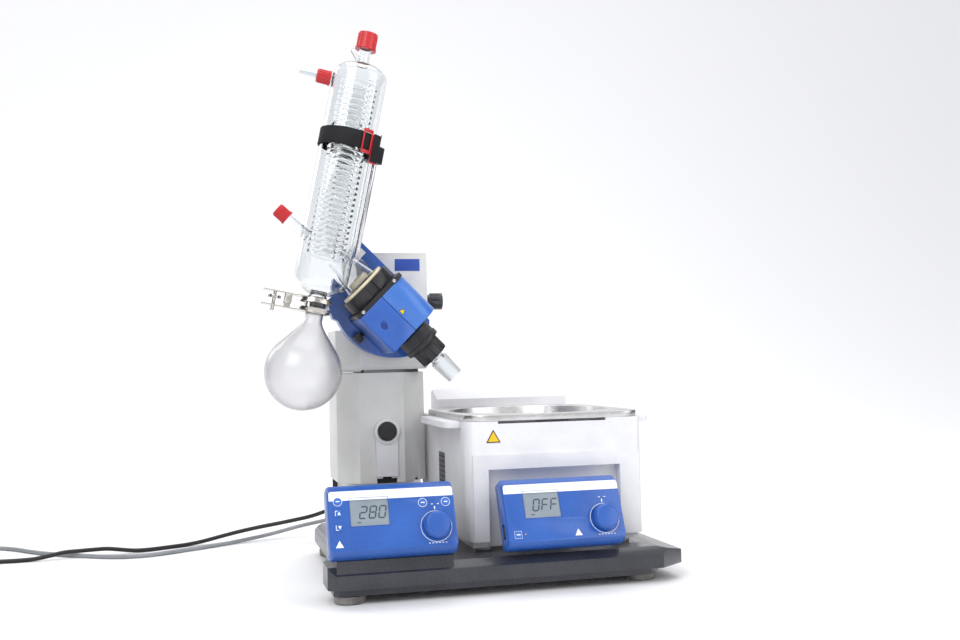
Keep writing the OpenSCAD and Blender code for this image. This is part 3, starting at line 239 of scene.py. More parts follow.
def make_materials():
    m = {}
    # Grained ABS mouldings: even colour, soft wide highlights
    m["slate"] = surface("slate_grained_abs", "#35363e", "#25262c", 0.3, 0.9, 0.12, coat=0.2)
    m["tower"] = surface("warm_grey_grained_abs", "#dededc", "#d2d2d0", 0.48, 0.9, 0.10)
    m["blue"] = surface("console_blue_satin_abs", "#2a5fb4", "#2152a4", 0.3, 0.8, 0.06, coat=0.15)
    m["deep"] = surface("deep_blue_satin_abs", "#2f62b8", "#2857aa", 0.34, 0.8, 0.06, coat=0.1)
    m["cover"] = surface("light_blue_satin_abs", "#3f78cc", "#376cbe", 0.32, 0.8, 0.06, coat=0.2)
    # Powder coated sheet: faint orange peel
    m["white"] = surface("off_white_powder_coated_steel", "#e8e8eb", "#dddde1", 0.4, 2.2, 0.10)
    # Brushed stainless: streaks along the rim
    m["rim"] = surface("brushed_stainless_steel", "#e0dfdf", "#bdbcbc", 0.34, 0.7, 0.10,
                       metallic=1.0, stretch=(0.06, 1, 1), spread=0.12)
    m["black"] = surface("black_moulded_polypropylene", "#26262a", "#161618", 0.4, 0.9, 0.10)
    # Near black: the warning signs' black border print, and painted shade in the bath's vent gaps,
    # in the opening under the end stop and along the displays' top edge
    m["dark"] = surface("black_print_and_painted_shade", "#141416", "#0c0c0e", 0.6, 1.0, 0.10)
    m["vent"] = surface("dark_grey_vent_mesh", "#6a6b70", "#55565b", 0.5, 1.0, 0.10)
    m["key"] = surface("blue_silicone_key", "#3a72ca", "#2e63ba", 0.4, 0.8, 0.05)
    m["led"] = surface("orange_led_lens", "#f0a030", "#e08818", 0.25, 0.6, 0.02, coat=0.4)
    m["oval"] = surface("dark_blue_satin_abs", "#1d3c8a", "#16317a", 0.4, 0.8, 0.06)
    m["ink"] = surface("white_screen_print", "#f4f6fa", "#e8edf6", 0.5, 0.8, 0.03)
    m["digits"] = surface("lcd_segment_black", "#434d54", "#363f46", 0.35, 0.8, 0.03)
    m["lcd"] = surface("lcd_grey_reflector", "#8f9ba5", "#7f8b95", 0.22, 0.6, 0.03, coat=0.6)
    m["yellow"] = surface("yellow_vinyl_label", "#f8c818", "#eeb80c", 0.4, 0.9, 0.03)
    m["badge"] = surface("blue_vinyl_badge", "#2c55b4", "#24489e", 0.35, 0.8, 0.03)
    m["red"] = surface("red_moulded_pbt_cap", "#d2282e", "#b81a22", 0.34, 0.9, 0.08, coat=0.1)
    m["steel"] = surface("nickel_plated_clamp_steel", "#cfcbc4", "#a49f98", 0.2, 0.8, 0.05,
                         metallic=1.0)
    m["chrome"] = surface("polished_stainless_rod", "#e2e2e4", "#c6c6ca", 0.1, 0.8, 0.02,
                          metallic=1.0, spread=0.04)
    m["foot"] = surface("knurled_cast_aluminium_foot", "#a8a5a1", "#2a2826", 0.55, 1.8, 1.5,
                        metallic=0.2, spread=0.15)
    m["alloy"] = surface("cast_aluminium_inner", "#a4a6aa", "#888a8e", 0.4, 1.0, 0.2,
                         metallic=1.0)
    m["copper"] = surface("enamelled_copper_winding", "#b06e3c", "#8a4f26", 0.35, 0.6, 0.4,
                          metallic=0.8, stretch=(1, 1, 0.2))
    m["seal"] = surface("cream_ptfe_seal", "#efe4c8", "#dccfae", 0.45, 0.9, 0.05)
    m["velour"] = surface("black_hook_and_loop_webbing", "#202024", "#0c0c0e", 0.9, 0.9, 1.0)
    m["sheath"] = surface("black_pvc_cord_sheath", "#1a1a1c", "#0e0e10", 0.45, 0.8, 0.10)
    m["grey_sheath"] = surface("grey_pvc_cord_sheath", "#9b9ea2", "#84878b", 0.5, 0.8, 0.10)
    m["nipple"] = glass("translucent_polypropylene", "#eef3f6", 0.35, 1.49)
    # Drawn borosilicate: clear, a little wavy, bright edges
    m["glass"] = glass("clear_borosilicate_glass", "#f7f9fa", 0.0)
    # The coil is a thin-walled tube, which bends light far less than a solid rod would
    m["coil"] = glass("thin_wall_borosilicate_coil", "#fdfefe", 0.0, 1.09)
    # Flask glass with a dry silvery haze left on its walls
    m["hazed"] = glass("hazed_borosilicate_flask", "#f1f1f2", 0.22)
    m["frost"] = glass("ground_borosilicate_glass", "#f4f7f8", 0.45)
    m["floor"] = plain("matt_white_studio_paper", "#f6f6f8", 0.85)
    m["card"] = plain("black_studio_card", "#060607", 0.9)
    return m


# ---------- modelling ----------
def begin():
    if bpy.context.mode != "OBJECT":
        bpy.ops.object.mode_set(mode="OBJECT")
    bpy.ops.object.select_all(action="DESELECT")


def settle(name, place, mats):
    """Applies the new object's place, names it, gives it its materials, and returns it."""
    if bpy.context.mode != "OBJECT":
        bpy.ops.object.mode_set(mode="OBJECT")
    piece = bpy.context.active_object
    piece.name = name
    piece.data.name = name
    piece.matrix_world = place @ piece.matrix_world
    bpy.ops.object.transform_apply(location=True, rotation=True, scale=True)
    for mat in mats if isinstance(mats, (list, tuple)) else [mats]:
        piece.data.materials.append(mat)
    return piece


def merge_pieces(name, pieces):
    begin()
    for p in pieces:
        p.select_set(True)
    bpy.context.view_layer.objects.active = pieces[0]
    if len(pieces) > 1:
        bpy.ops.object.join()
    piece = bpy.context.active_object
    piece.name = name
    piece.data.name = name
    return piece


def arc(cx, cz, rx, rz, start, end, steps):
    return [(cx + rx * cos(radians(start + (end - start) * i / steps)),
             cz + rz * sin(radians(start + (end - start) * i / steps)))
            for i in range(steps + 1)]


def bezier(p0, p1, p2, p3, steps):
    out = []
    for i in range(1, steps + 1):
        t = i / steps
        k = [(1 - t) ** 3, 3 * t * (1 - t) ** 2, 3 * t * t * (1 - t), t ** 3]
        out.append(tuple(sum(w * p[a] for w, p in zip(k, (p0, p1, p2, p3))) for a in (0, 1)))
    return out


def spun(name, outline, place, mats, steps=72, smooth=35):
    """Extrudes one vertex along a half outline of (radius, height) and spins it round Z."""
    begin()
    bpy.ops.mesh.primitive_plane_add(size=1)
    bpy.ops.object.mode_set(mode="EDIT")
    bpy.ops.mesh.select_mode(type="VERT")
    bpy.ops.mesh.select_all(action="SELECT")
    bpy.ops.mesh.merge(type="CENTER")
    bpy.ops.transform.translate(value=(outline[0][0], 0, outline[0][1]))
    for before, here in zip(outline, outline[1:]):
        step = (here[0] - before[0], 0, here[1] - before[1])
        bpy.ops.mesh.extrude_region_move(TRANSFORM_OT_translate={"value": step})
    bpy.ops.mesh.select_all(action="SELECT")
    bpy.ops.mesh.spin(steps=steps, angle=TURN, center=(0, 0, 0), axis=(0, 0, 1))
    bpy.ops.mesh.select_all(action="SELECT")
    bpy.ops.mesh.remove_doubles(threshold=0.002)
    bpy.ops.mesh.normals_make_consistent(inside=False)
    bpy.ops.object.mode_set(mode="OBJECT")
    piece = settle(name, place, mats)
    bpy.ops.object.shade_smooth_by_angle(angle=radians(smooth))
    return piece


def block(name, size, at, place, mats, edge=0.5, turn=0.0, smooth=True):
    """A cube of that size in mm, bevelled on every edge."""
    begin()
    bpy.ops.mesh.primitive_cube_add(size=1)
    piece = bpy.context.active_object
    piece.matrix_world = (Matrix.Translation(at) @ Matrix.Rotation(turn, 4, "Z")
                          @ Matrix.Diagonal((*size, 1)))
    bpy.ops.object.transform_apply(location=True, rotation=True, scale=True)
    if edge:
        bpy.ops.object.mode_set(mode="EDIT")
        bpy.ops.mesh.select_all(action="SELECT")
        bpy.ops.mesh.bevel(offset=edge, segments=2, affect="EDGES")
        bpy.ops.object.mode_set(mode="OBJECT")
    piece = settle(name, place, mats)
    if smooth:
        bpy.ops.object.shade_smooth_by_angle(angle=radians(35))
    return piece


def wire(name, points, radius, place, mats, closed=False, sides=3):
    """A round bar or tube along points in mm, made a mesh."""
    begin()
    bpy.ops.curve.primitive_bezier_curve_add()
    piece = bpy.context.active_object
    curve = piece.data
    curve.splines.clear()
    line = curve.splines.new("POLY")
    line.points.add(len(points) - 1)
    for p, co in zip(line.points, points):
        p.co = (*co, 1)
    line.use_cyclic_u = closed
    curve.dimensions = "3D"
    curve.bevel_depth = radius
    curve.bevel_resolution = sides
    curve.use_fill_caps = not closed
    bpy.ops.object.convert(target="MESH")
    piece = settle(name, place, mats)
    bpy.ops.object.shade_smooth_by_angle(angle=radians(50))
    return piece


def smooth_line(points, per=6):
    """Points on a Catmull-Rom curve through the given ones."""
    pts = [Vector(p) for p in points]
    out = []
    for i in range(len(pts) - 1):
        a, b = pts[max(i - 1, 0)], pts[i]
        c, d = pts[i + 1], pts[min(i + 2, len(pts) - 1)]
        for k in range(per):
            t = k / per
            out.append(0.5 * (2 * b + (c - a) * t + (2 * a - 5 * b + 4 * c - d) * t * t
                              + (3 * b - a - 3 * c + d) * t ** 3))
    return out + [pts[-1]]


def soften(name, width, segments=2, angle=32):
    """Rounds a CAD piece's edges with modifiers that leave its own mesh as it is."""
    o = NODES[name]
    o.data.polygons.foreach_set("use_smooth", [True] * len(o.data.polygons))
    weld = o.modifiers.new("weld", "WELD")
    weld.merge_threshold = 0.00001
    if width:
        flat = o.modifiers.new("flats", "DECIMATE")
        flat.decimate_type = "DISSOLVE"
        flat.angle_limit = radians(0.6)
        edge = o.modifiers.new("edges", "BEVEL")
        edge.width = width * MM
        edge.segments = segments
        edge.limit_method = "ANGLE"
        edge.angle_limit = radians(angle)
        edge.harden_normals = True
    else:
        split = o.modifiers.new("sharp", "EDGE_SPLIT")
        split.split_angle = radians(angle)


# ---------- settings ----------
class EvaporatorSizes(bpy.types.PropertyGroup):
    coil_pitch: FloatProperty(name="Coil pitch", description="Rise of one turn of the coil",
                              default=8.4, min=6.0, max=20.0)
    coil_radius: FloatProperty(name="Coil radius", description="Radius of the outer coil",
                               default=25.5, min=10.0, max=30.0)
    coil_tube: FloatProperty(name="Coil tube", description="Radius of the coil's own tube",
                             default=3.4, min=1.0, max=5.0)
    strap_width: FloatProperty(name="Strap width", description="Width of the strap",
                               default=26.0, min=10.0, max=30.0)
    cord_diameter: FloatProperty(name="Cord diameter", description="Diameter of both leads",
                                 default=0.007, min=0.004, max=0.01, unit="LENGTH")


class EvaporatorLook(bpy.types.PropertyGroup):
    backdrop: FloatVectorProperty(name="Backdrop", description="Colour of the room's light",
                                  subtype="COLOR", size=3, default=(0.93, 0.935, 0.95),
                                  min=0.0, max=1.0)
    room_light: FloatProperty(name="Room light", description="Strength of the room's light",
                              default=0.85, min=0.0, max=5.0)


MATERIALS = {}


def material(key):
    if not MATERIALS:
        MATERIALS.update(make_materials())
    return MATERIALS[key]


class StageOperator(bpy.types.Operator):
    """Adds the floor, the lights and the camera"""
    bl_idname = "evaporator.stage"
    bl_label = "Studio"

    def execute(self, context):
        look = context.scene.evaporator_look
        begin()
        bpy.ops.mesh.primitive_plane_add(size=1)
        floor = context.active_object
        floor.matrix_world = Matrix.Translation((0, -0.5, 0)) @ Matrix.Diagonal((16, 9, 1, 1))
        bpy.ops.object.transform_apply(location=True, rotation=True, scale=True)
        bpy.ops.object.mode_set(mode="EDIT")
        bpy.ops.mesh.select_all(action="DESELECT")
        bpy.ops.object.mode_set(mode="OBJECT")
        back = max(v.co.y for v in floor.data.vertices)
        for e in floor.data.edges:
            e.select = all(abs(floor.data.vertices[i].co.y - back) < 0.001 for i in e.vertices)
        for v in floor.data.vertices:
            v.select = abs(v.co.y - back) < 0.001
        bpy.ops.object.mode_set(mode="EDIT")
        bpy.ops.mesh.extrude_region_move(TRANSFORM_OT_translate={"value": (0, 0, 6)})
        bpy.ops.object.mode_set(mode="OBJECT")
        for e in floor.data.edges:
            ends = [floor.data.vertices[i].co for i in e.vertices]
            e.select = all(abs(c.y - back) < 0.001 and abs(c.z) < 0.001 for c in ends)
        for v in floor.data.vertices:
            v.select = abs(v.co.y - back) < 0.001 and abs(v.co.z) < 0.001
        bpy.ops.object.mode_set(mode="EDIT")
        bpy.ops.mesh.bevel(offset=2.4, segments=24, affect="EDGES")
        bpy.ops.object.mode_set(mode="OBJECT")
        floor = settle("studio_floor", Matrix.Identity(4), material("floor"))
        bpy.ops.object.shade_smooth_by_angle(angle=radians(60))

        for side, x in (("left", -1.25), ("right", 1.75)):
            card = block("studio_card_" + side, (20, 1500, 1500), (x / MM, 150, 830),
                         Matrix.Scale(MM, 4), material("card"), 0)
            # The camera doesn't see the cards and they cast no shadow; glass and gloss see them,
            # which gives clear glass its dark edges, and diffuse light still sees them too
            card.visible_camera = False
            card.visible_shadow = False

        world = bpy.data.worlds.new("studio_room")
        world.use_nodes = True
        world.node_tree.nodes["Background"].inputs["Color"].default_value = (
            *look.backdrop, 1)
        world.node_tree.nodes["Background"].inputs["Strength"].default_value = look.room_light
        context.scene.world = world
        self.lamp("key", (-1.9, -2.0, 2.6), (0.0, 0.0, 0.3), 2.2, 52)
        self.lamp("fill", (2.4, -1.8, 1.8), (0.1, 0.0, 0.3), 2.4, 26)
        self.lamp("top", (0.2, 0.5, 3.2), (0.0, 0.1, 0.2), 2.6, 40)
        self.lamp("rim", (-2.2, 2.2, 2.0), (0.0, 0.0, 0.4), 1.8, 22)

        camera = bpy.data.objects.new("camera", bpy.data.cameras.new("camera"))
        context.scene.collection.objects.link(camera)
        yaw, pitch, roll = 0.25636, 0.035533, -0.021519
        ahead = Vector((sin(yaw) * cos(pitch), cos(yaw) * cos(pitch), sin(pitch)))
        right = Vector((cos(yaw), -sin(yaw), 0))
        up = right.cross(ahead)
        right, up = (cos(roll) * right + sin(roll) * up, cos(roll) * up - sin(roll) * right)
        turned = Matrix((right, up, -ahead)).transposed().to_4x4()
        camera.matrix_world = Matrix.Translation(on_bench(-168.55, -1425.63, 315.96)) @ turned
        camera.data.lens = 41.25
        camera.data.sensor_width = 36
        camera.data.clip_end = 50
        context.scene.camera = camera
        context.scene.view_settings.view_transform = "Standard"
        return {"FINISHED"}

    def lamp(self, name, at, target, size, power):
        begin()
        bpy.ops.object.light_add(type="AREA", location=at)
        lamp = bpy.context.active_object
        lamp.name = "lamp_" + name
        lamp.data.size = size
        lamp.data.energy = power
        lamp.rotation_euler = (Vector(target) - Vector(at)).to_track_quat("-Z", "Y").to_euler()


class FinishesOperator(bpy.types.Operator):
    """Gives each CAD piece its finish and rounds its edges"""
    bl_idname = "evaporator.finishes"
    bl_label = "Finishes"

    looks = {
        "slate": (["base_plate", "tower_rear_cover", "tilt_knob"], 1.0),
        "foot": (["levelling_feet"], 0.8),
        "tower": (["tower_shell", "lift_sleeve"], 1.6),
        "white": (["bath_housing", "stop_slider"], 1.4),
        "blue": (["head_arm", "speed_knob", "bath_knob", "drive_panel_case",
                  "bath_panel_case"], 1.0),
        "deep": (["head_case"], 1.8),
        "cover": (["head_cover"], 1.8),
        "rim": (["bath_basin"], 0.8),
        "key": (["timer_key", "lift_up_key", "lift_down_key", "interval_key", "mode_key",
                 "bath_key"], 0.3),
        "lcd": (["drive_display", "bath_display"], 0.0),
        "black": (["bath_switch", "stop_button", "head_flange", "union_nut", "spindle_hub",
                   "push_off_nut", "spindle_lock", "rod_holder", "drive_cord_gland",
                   "bath_cord_gland", "drive_plug"], 0.5),
        "grey_sheath": (["bath_plug"], 0.8),
        "copper": (["head_motor"], 0.0),
        "seal": (["vapour_seal"], 0.2),
        "red": (["screw_caps"], 0.3),
        "chrome": (["support_rod"], 0.3),
        "steel": (["clamp_fixed_jaw", "clamp_swing_jaw", "clamp_nut", "tower_frame",
                   "lift_screw", "speed_shaft", "bath_shaft"], 0.3),
        "alloy": (["lift_column", "lift_carriage", "bath_heater"], 0.4),
        "nipple": (["hose_nipple"], 0.0),
        "velour": (["strap"], 0.0),
        "glass": (["condenser_jacket", "condenser_coil", "vapour_tube",
                   "receiving_flask"], 0.0),
        "sheath": (["drive_cord", "drive_cord_coil"], 0.0),
        "dark": (["bath_cord", "bath_cord_coil"], 0.0),
    }

    def execute(self, context):
        for key, (names, width) in self.looks.items():
            for name in names:
                o = NODES[name]
                o.data.materials.clear()
                o.data.materials.append(material(key))
                soften(name, width)
        return {"FINISHED"}


class GlassOperator(bpy.types.Operator):
    """Blows the condenser, its duct and ports, the flask and the vapour tube"""
    bl_idname = "evaporator.glass"
    bl_label = "Glassware"

    def execute(self, context):
        clear = material("glass")
        r, low, high, wall = JACKET_R, JACKET_LOW, JACKET_HIGH, JACKET_WALL
        body = ([(10, -3), (15.6, -3)] + arc(0, 5, 17.5, 17.5, -27, 44, 10)[1:]
                + [(12.5, 24)]
                + arc(0, low, r, 25.4, -72, 0, 12)
                + arc(0, high, r, 23, 0, 77, 12)
                + [(9, 378), (9, 410), (8.6, 410.6), (7.2, 410.6), (7, 410)]
                + arc(0, high, r - wall, 23 - wall, 77, 0, 12)
                + arc(0, low, r - wall, 25.4 - wall, 0, -72, 12)
                + [(10, 24), (10, -3)])
        jacket = spun("glass_body", body, GLASS, clear, 96)
        duct = spun("glass_duct", [
            (18, -142), (20, -124), (28, -84), (28.4, -80.3), (36.4, -80), (36.4, -77),
            (35.8, -76.2), (25.6, -76.2), (25.6, -82), (18, -124), (16, -142), (18, -142)],
            DRIVE_AXIS, clear, 64)
        ports = []
        for along, tilt, start, end in ((83, radians(30), 37, 87), (341, 0, 39.5, 57)):
            ports.append(spun("glass_port", [
                (9.6, start - 1.5), (8, start + 3), (8, end), (7.4, end + 0.5), (6, end),
                (6, start), (9.6, start - 1.5)], port(along, tilt), clear, 40))
        nub = GLASS @ Matrix.Translation((0, 0, 368)) @ Matrix.Rotation(radians(-38), 4, "Y")
        ports.append(spun("glass_nub", [
            (0.01, 12), (3, 12), (3, 24), (3.6, 27), (3.2, 30), (1.8, 32), (0.01, 32.4)],
            nub, clear, 24))
        glass_all = merge_pieces("condenser_glass", [jacket, duct] + ports)
        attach(glass_all, "head")
        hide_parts("condenser_jacket")

        outer, inner = self.flask_line(0), self.flask_line(FLASK_WALL)
        flask = spun("flask_glass", outer + [(NECK_R, -8), (17.5, -7.6), (17.5, -4), (16.8, -3.4),
                     (11.7, -3.4)] + inner[::-1], GLASS, material("hazed"), 96)
        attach(flask, "head")
        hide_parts("receiving_flask")

        tube = spun("vapour_glass", [
            (11.5, -95), (11.5, 73), (14.6, 77), (12.9, 111), (9.5, 111), (9.5, -95),
            (11.5, -95)], DRIVE_AXIS, [clear, material("frost")], 64)
        for p in tube.data.polygons:
            c = DRIVE_AXIS.inverted() @ p.center
            if c.z > 77 and hypot(c.x, c.y) > 11.8:
                p.material_index = 1
        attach(tube, "spindle")
        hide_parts("vapour_tube")
        return {"FINISHED"}

    def flask_line(self, inset):
        """Half outline of the flask: its ball, then its shoulder drawn in to the neck."""
        r, neck = FLASK_R - inset, NECK_R - inset
        shoulder, pull = 38, 22
        start = (r * cos(radians(shoulder)), FLASK_MID + r * sin(radians(shoulder)))
        leave = (start[0] - pull * sin(radians(shoulder)),
                 start[1] + pull * cos(radians(shoulder)))
        return (arc(0, FLASK_MID, r, r, -89.9, shoulder, 40)
                + bezier(start, leave, (neck + 1, -30), (neck, -20), 12))


class CoilOperator(bpy.types.Operator):
    """Winds the double cooling coil inside the condenser"""
    bl_idname = "evaporator.coil"
    bl_label = "Cooling coil"

    def execute(self, context):
        sizes = context.scene.evaporator_sizes
        low, high = 76.0, 346.0
        turns = int((high - low) / sizes.coil_pitch)
        windings = []
        for radius, sign in ((sizes.coil_radius, 1), (sizes.coil_radius - 11, -1)):
            steps = turns * 22
            line = [(radius * cos(TURN * turns * i / steps),
                     sign * radius * sin(TURN * turns * i / steps),
                     low + sizes.coil_pitch * turns * i / steps) for i in range(steps + 1)]
            windings.append(wire("coil_winding", line, sizes.coil_tube, GLASS,
                                 material("coil"), sides=2))
        coil = merge_pieces("cooling_coil_glass", windings)
        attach(coil, "head")
        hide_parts("condenser_coil")
        return {"FINISHED"}


class StrapOperator(bpy.types.Operator):
    """Wraps the strap round the condenser, with its red loop and loose tail"""
    bl_idname = "evaporator.strap"
    bl_label = "Strap"

    def execute(self, context):
        half = context.scene.evaporator_sizes.strap_width / 2
        mid = STRAP_MID
        velour, red = material("velour"), material("red")
        band = spun("strap_band", [
            (41.3, mid - half), (43.0, mid - half), (43.6, mid - half + 1.2),
            (43.4, mid), (43.6, mid + half - 1.2), (43.0, mid + half), (41.3, mid + half),
            (41.3, mid - half)], GLASS, velour, 96, 60)
        loop_at = GLASS @ Matrix.Rotation(radians(-58), 4, "Z")
        bars = [block("strap_loop", (3.2, 17, 5.0), (45.0, 0, z), loop_at, red, 1.2)
                for z in (mid - half - 2.6, mid + half + 2.6)]
        sides = [block("strap_loop", (2.0, 2.4, 2 * half + 8), (45.6, y, mid), loop_at, red, 0.7)
                 for y in (-7.6, 7.6)]
        tail = block("strap_tail", (1.8, 12, 2 * half + 16), (46.6, 17, mid - 7), loop_at,
                     velour, 0.5)
        lining = block("strap_tail_lining", (1.4, 12.6, 2 * half + 18), (45.0, 16.6, mid - 8.4),
                       loop_at, red, 0.5)
        strap = merge_pieces("strap_webbing", [band, tail])
        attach(strap, "head")
        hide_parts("strap")
        trim = merge_pieces("strap_red_loop", bars + sides + [lining])
        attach(trim, "head")
        return {"FINISHED"}


class CordsOperator(bpy.types.Operator):
    """Lays both leads on the floor and winds up the rest of each"""
    bl_idname = "evaporator.cords"
    bl_label = "Leads"

    def execute(self, context):
        self.lay("drive_lead", DRIVE_ROUTE, (-572, 560), 6, 5, "sheath", "base",
                 ("drive_cord", "drive_cord_coil"), "drive_plug", "drive_cord_gland")
        self.lay("bath_lead", BATH_ROUTE, (-600, 720), 4, 3, "grey_sheath", "bath",
                 ("bath_cord", "bath_cord_coil"), "bath_plug", "bath_cord_gland")
        return {"FINISHED"}

    def lay(self, name, route, centre, laps, turns, key, body, nodes, plug, gland):
        wide, tight, rise = OUTER_LAP, INNER_LAP, LAYER_RISE
        slots = [(wide, 0), (tight, 0), (tight, 1), (wide, 1), (tight, 2), (wide, 2)]
        sweep = 90 + 360 * turns
        share = sweep / laps
        shift = 120
        coil = []
        for i in range(1, sweep // 10 + 1):
            angle = 10 * i
            k = min(int(angle / share), laps - 1)
            t = (min(max((angle - share * (k + 1)) / shift + 1, 0), 1)
                 if k < laps - 1 else 0)
            t = t * t * (3 - 2 * t)
            (r0, l0), (r1, l1) = slots[k], slots[min(k + 1, laps - 1)]
            r = r0 + (r1 - r0) * t
            a = radians(270 - angle)
            coil.append((centre[0] + r * cos(a), centre[1] + r * sin(a),
                         FLOOR_LAP + rise * (l0 + (l1 - l0) * t)))
        top = coil[-1][2]
        tail = [(centre[0] - wide, centre[1] + 10, top), (centre[0] - wide, centre[1] + 19, top)]
        line = [on_bench(*p) for p in smooth_line(list(route) + coil + tail, 4)]
        curve = bpy.data.curves.new(name, "CURVE")
        curve.dimensions = "3D"
        spline = curve.splines.new("POLY")
        spline.points.add(len(line) - 1)
        for p, co in zip(spline.points, line):
            p.co = (*co, 1)
        diameter = bpy.context.scene.evaporator_sizes.cord_diameter
        curve.bevel_depth = diameter / 2
        curve.bevel_resolution = 3
        curve.use_fill_caps = True
        curve.materials.append(material(key))
        lead = bpy.data.objects.new(name, curve)
        bpy.context.scene.collection.objects.link(lead)
        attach(lead, body)
        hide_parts(*nodes)
        high = FLOOR_LAP + rise * (2 if laps > 4 else 1) + 4.6
        tie = wire(name + "_tie", [
            (centre[0] + x, centre[1], z) for x, z in (
                (29.8, 0.9), (47.0, 0.9), (47.2, high - 1), (46.4, high), (30.6, high),
                (29.8, high - 1))], 0.9, BENCH, material("black"), closed=True)
        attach(tie, body)


class PanelPrintOperator(bpy.types.Operator):
    """Prints the panels' stripe, marks and display digits, and paints shade along each display's
    top edge
    """
    bl_idname = "evaporator.panel_print"
    bl_label = "Panel print"

    # Seven-segment shapes: top, upper right, lower right, bottom, lower left, upper left, middle
    digits = {"2": "1101101", "8": "1111111", "0": "1111110", "O": "1111110", "F": "1000111"}

    def execute(self, context):
        self.panel("drive", DRIVE_FACE, "280", "base", (11.3, -70.8),
                   [TIMER_KEY, INTERVAL_KEY, MODE_KEY], [])
        half = 4.9
        outline = [(BATH_KEY[0] + half * x, BATH_KEY[1] + half * y, 0.15)
                   for x, y in ((-1, -1), (1, -1), (1, 1), (-1, 1))]
        self.panel("bath", BATH_FACE, "OFF", "bath", (98.6, -71.5), [], [outline])
        for body, at in (("timer_button", TIMER_KEY), ("interval_button", INTERVAL_KEY),
                         ("mode_button", MODE_KEY)):
            self.key_print(body, DRIVE_FACE, [self.bar(
                "legend", (at[0] - 2.2, at[1]), (at[0] + 2.2, at[1]), 1.3, DRIVE_FACE, "ink",
                KEY_LIFT)])
        for body, (x, y), way in (("up_button", UP_KEY, 1), ("down_button", DOWN_KEY, -1)):
            arrow = [(x - 0.6, y - 2.2 * way), (x + 3.6, y - 2.2 * way), (x + 1.5, y + 2.2 * way)]
            bracket = [self.bar("bracket", (x - 3.4, y - 3.2), (x - 3.4, y + 3.2), 0.8,
                                DRIVE_FACE, "ink", KEY_LIFT),
                       self.bar("bracket", (x - 3.4, y + 3.2 * way), (x - 0.6, y + 3.2 * way),
                                0.8, DRIVE_FACE, "ink", KEY_LIFT)]
            self.key_print(body, DRIVE_FACE, bracket + [
                self.plate("arrow", arrow[::way], DRIVE_FACE, "ink", KEY_LIFT)])
        self.key_print("bath_button", BATH_FACE, [self.bar(
            "legend", (BATH_KEY[0] - 2.2, BATH_KEY[1]), (BATH_KEY[0] + 2.2, BATH_KEY[1]), 1.4,
            BATH_FACE, "ink", KEY_LIFT)])
        led = spun("bath_led", [(0.01, 0.1), (1.0, 0.1), (0.9, 0.5), (0.01, 0.7)],
                   BATH_FACE @ Matrix.Translation((23.8, -69.7, 0)), material("led"), 20)
        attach(led, "bath")
        return {"FINISHED"}

    def key_print(self, body, face, shapes):
        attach(merge_pieces(body + "_print", shapes), body)

    def plate(self, name, outline, face, key, lift=FACE_LIFT, thick=0.16):
        """A thin flat shape from a face primitive, filled and extruded."""
        begin()
        bpy.ops.mesh.primitive_circle_add(vertices=len(outline), radius=1, fill_type="NGON")
        o = bpy.context.active_object
        for v, (x, y) in zip(o.data.vertices, outline):
            v.co = (x, y, lift)
        bpy.ops.object.mode_set(mode="EDIT")
        bpy.ops.mesh.select_all(action="SELECT")
        bpy.ops.mesh.extrude_region_move(TRANSFORM_OT_translate={"value": (0, 0, thick)})
        bpy.ops.mesh.select_all(action="SELECT")
        bpy.ops.mesh.normals_make_consistent(inside=False)
        return settle(name, face, material(key))

    def bar(self, name, a, b, width, face, key, lift=FACE_LIFT):
        a, b = Vector(a), Vector(b)
        along = (b - a).normalized()
        side = Vector((-along.y, along.x)) * width / 2
        tip = along * width / 2
        pts = [a + side, a - tip * 0.9, a - side, b - side, b + tip * 0.9, b + side]
        return self.plate(name, [tuple(p) for p in pts], face, key, lift)

    def panel(self, name, face, text, body, sign, rings, squares):
        prints = []
        lines = []
        stripe = [(0.7, -13.4), (165.3, -13.4)] + [
            (162 + 3.3 * sin(radians(t)), -4.2 + 3.3 * cos(radians(t)))
            for t in (90, 60, 30, 0)] + [
            (4 - 3.3 * sin(radians(t)), -4.2 + 3.3 * cos(radians(t))) for t in (0, 30, 60, 90)]
        prints.append(self.plate("stripe", stripe, face, "ink"))
        prints.append(self.triangle(sign, 5.2, face, "ink"))
        knob = KNOB
        prints.append(self.bar("mark", (knob[0], -31), (knob[0], -27.5), 1.6, face, "ink"))
        for cx in (knob[0] - 4, knob[0] + 4):
            prints.append(self.bar("mark", (cx, -24), (cx + 2, -24), 1.0, face, "ink"))
        for x in range(6):
            prints.append(self.bar("legend", (knob[0] - 12 + 4.4 * x, -76),
                                   (knob[0] - 10 + 4.4 * x, -76), 0.9, face, "ink"))
        for c, r in [(knob, 20.6)] + [(p, 5.7) for p in rings]:
            circle = [(c[0] + r * cos(TURN * i / 48), c[1] + r * sin(TURN * i / 48), 0.15)
                      for i in range(48)]
            lines.append(wire("ring", circle, 0.4, face, material("ink"), closed=True,
                              sides=1))
        for square in squares:
            lines.append(wire("square", square, 0.35, face, material("ink"), closed=True,
                              sides=1))
        face_print = merge_pieces(name + "_panel_print", prints)
        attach(face_print, body)
        ring_print = merge_pieces(name + "_panel_rings", lines)
        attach(ring_print, body)
        (x0, y0), (x1, y1) = DISPLAY_LOW, DISPLAY_HIGH
        bezel = wire(name + "_display_bezel", [
            (x0, y0, 0.1), (x1, y0, 0.1), (x1, y1, 0.1), (x0, y1, 0.1)], 0.45,
            face, material("deep"), closed=True, sides=1)
        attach(bezel, body)
        segments = []
        for i, letter in enumerate(text):
            segments += self.digit(39 + 12.5 * i, -38, letter, face)
        segments.append(self.bar("seg", (36, -43.5), (41, -43.5), 1.0, face, "digits",
                                 DISPLAY_LIFT))
        # Painted shade: a dark bar along the display's top edge stands in for the shadow under the
        # bezel
        segments.append(self.bar("shade", (x0 + 1.5, y1 - 1.1), (x1 - 1.5, y1 - 1.1), 1.6, face,
                                 "dark", DISPLAY_LIFT))
        shown = merge_pieces(name + "_display_digits_and_painted_shade", segments)
        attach(shown, body)

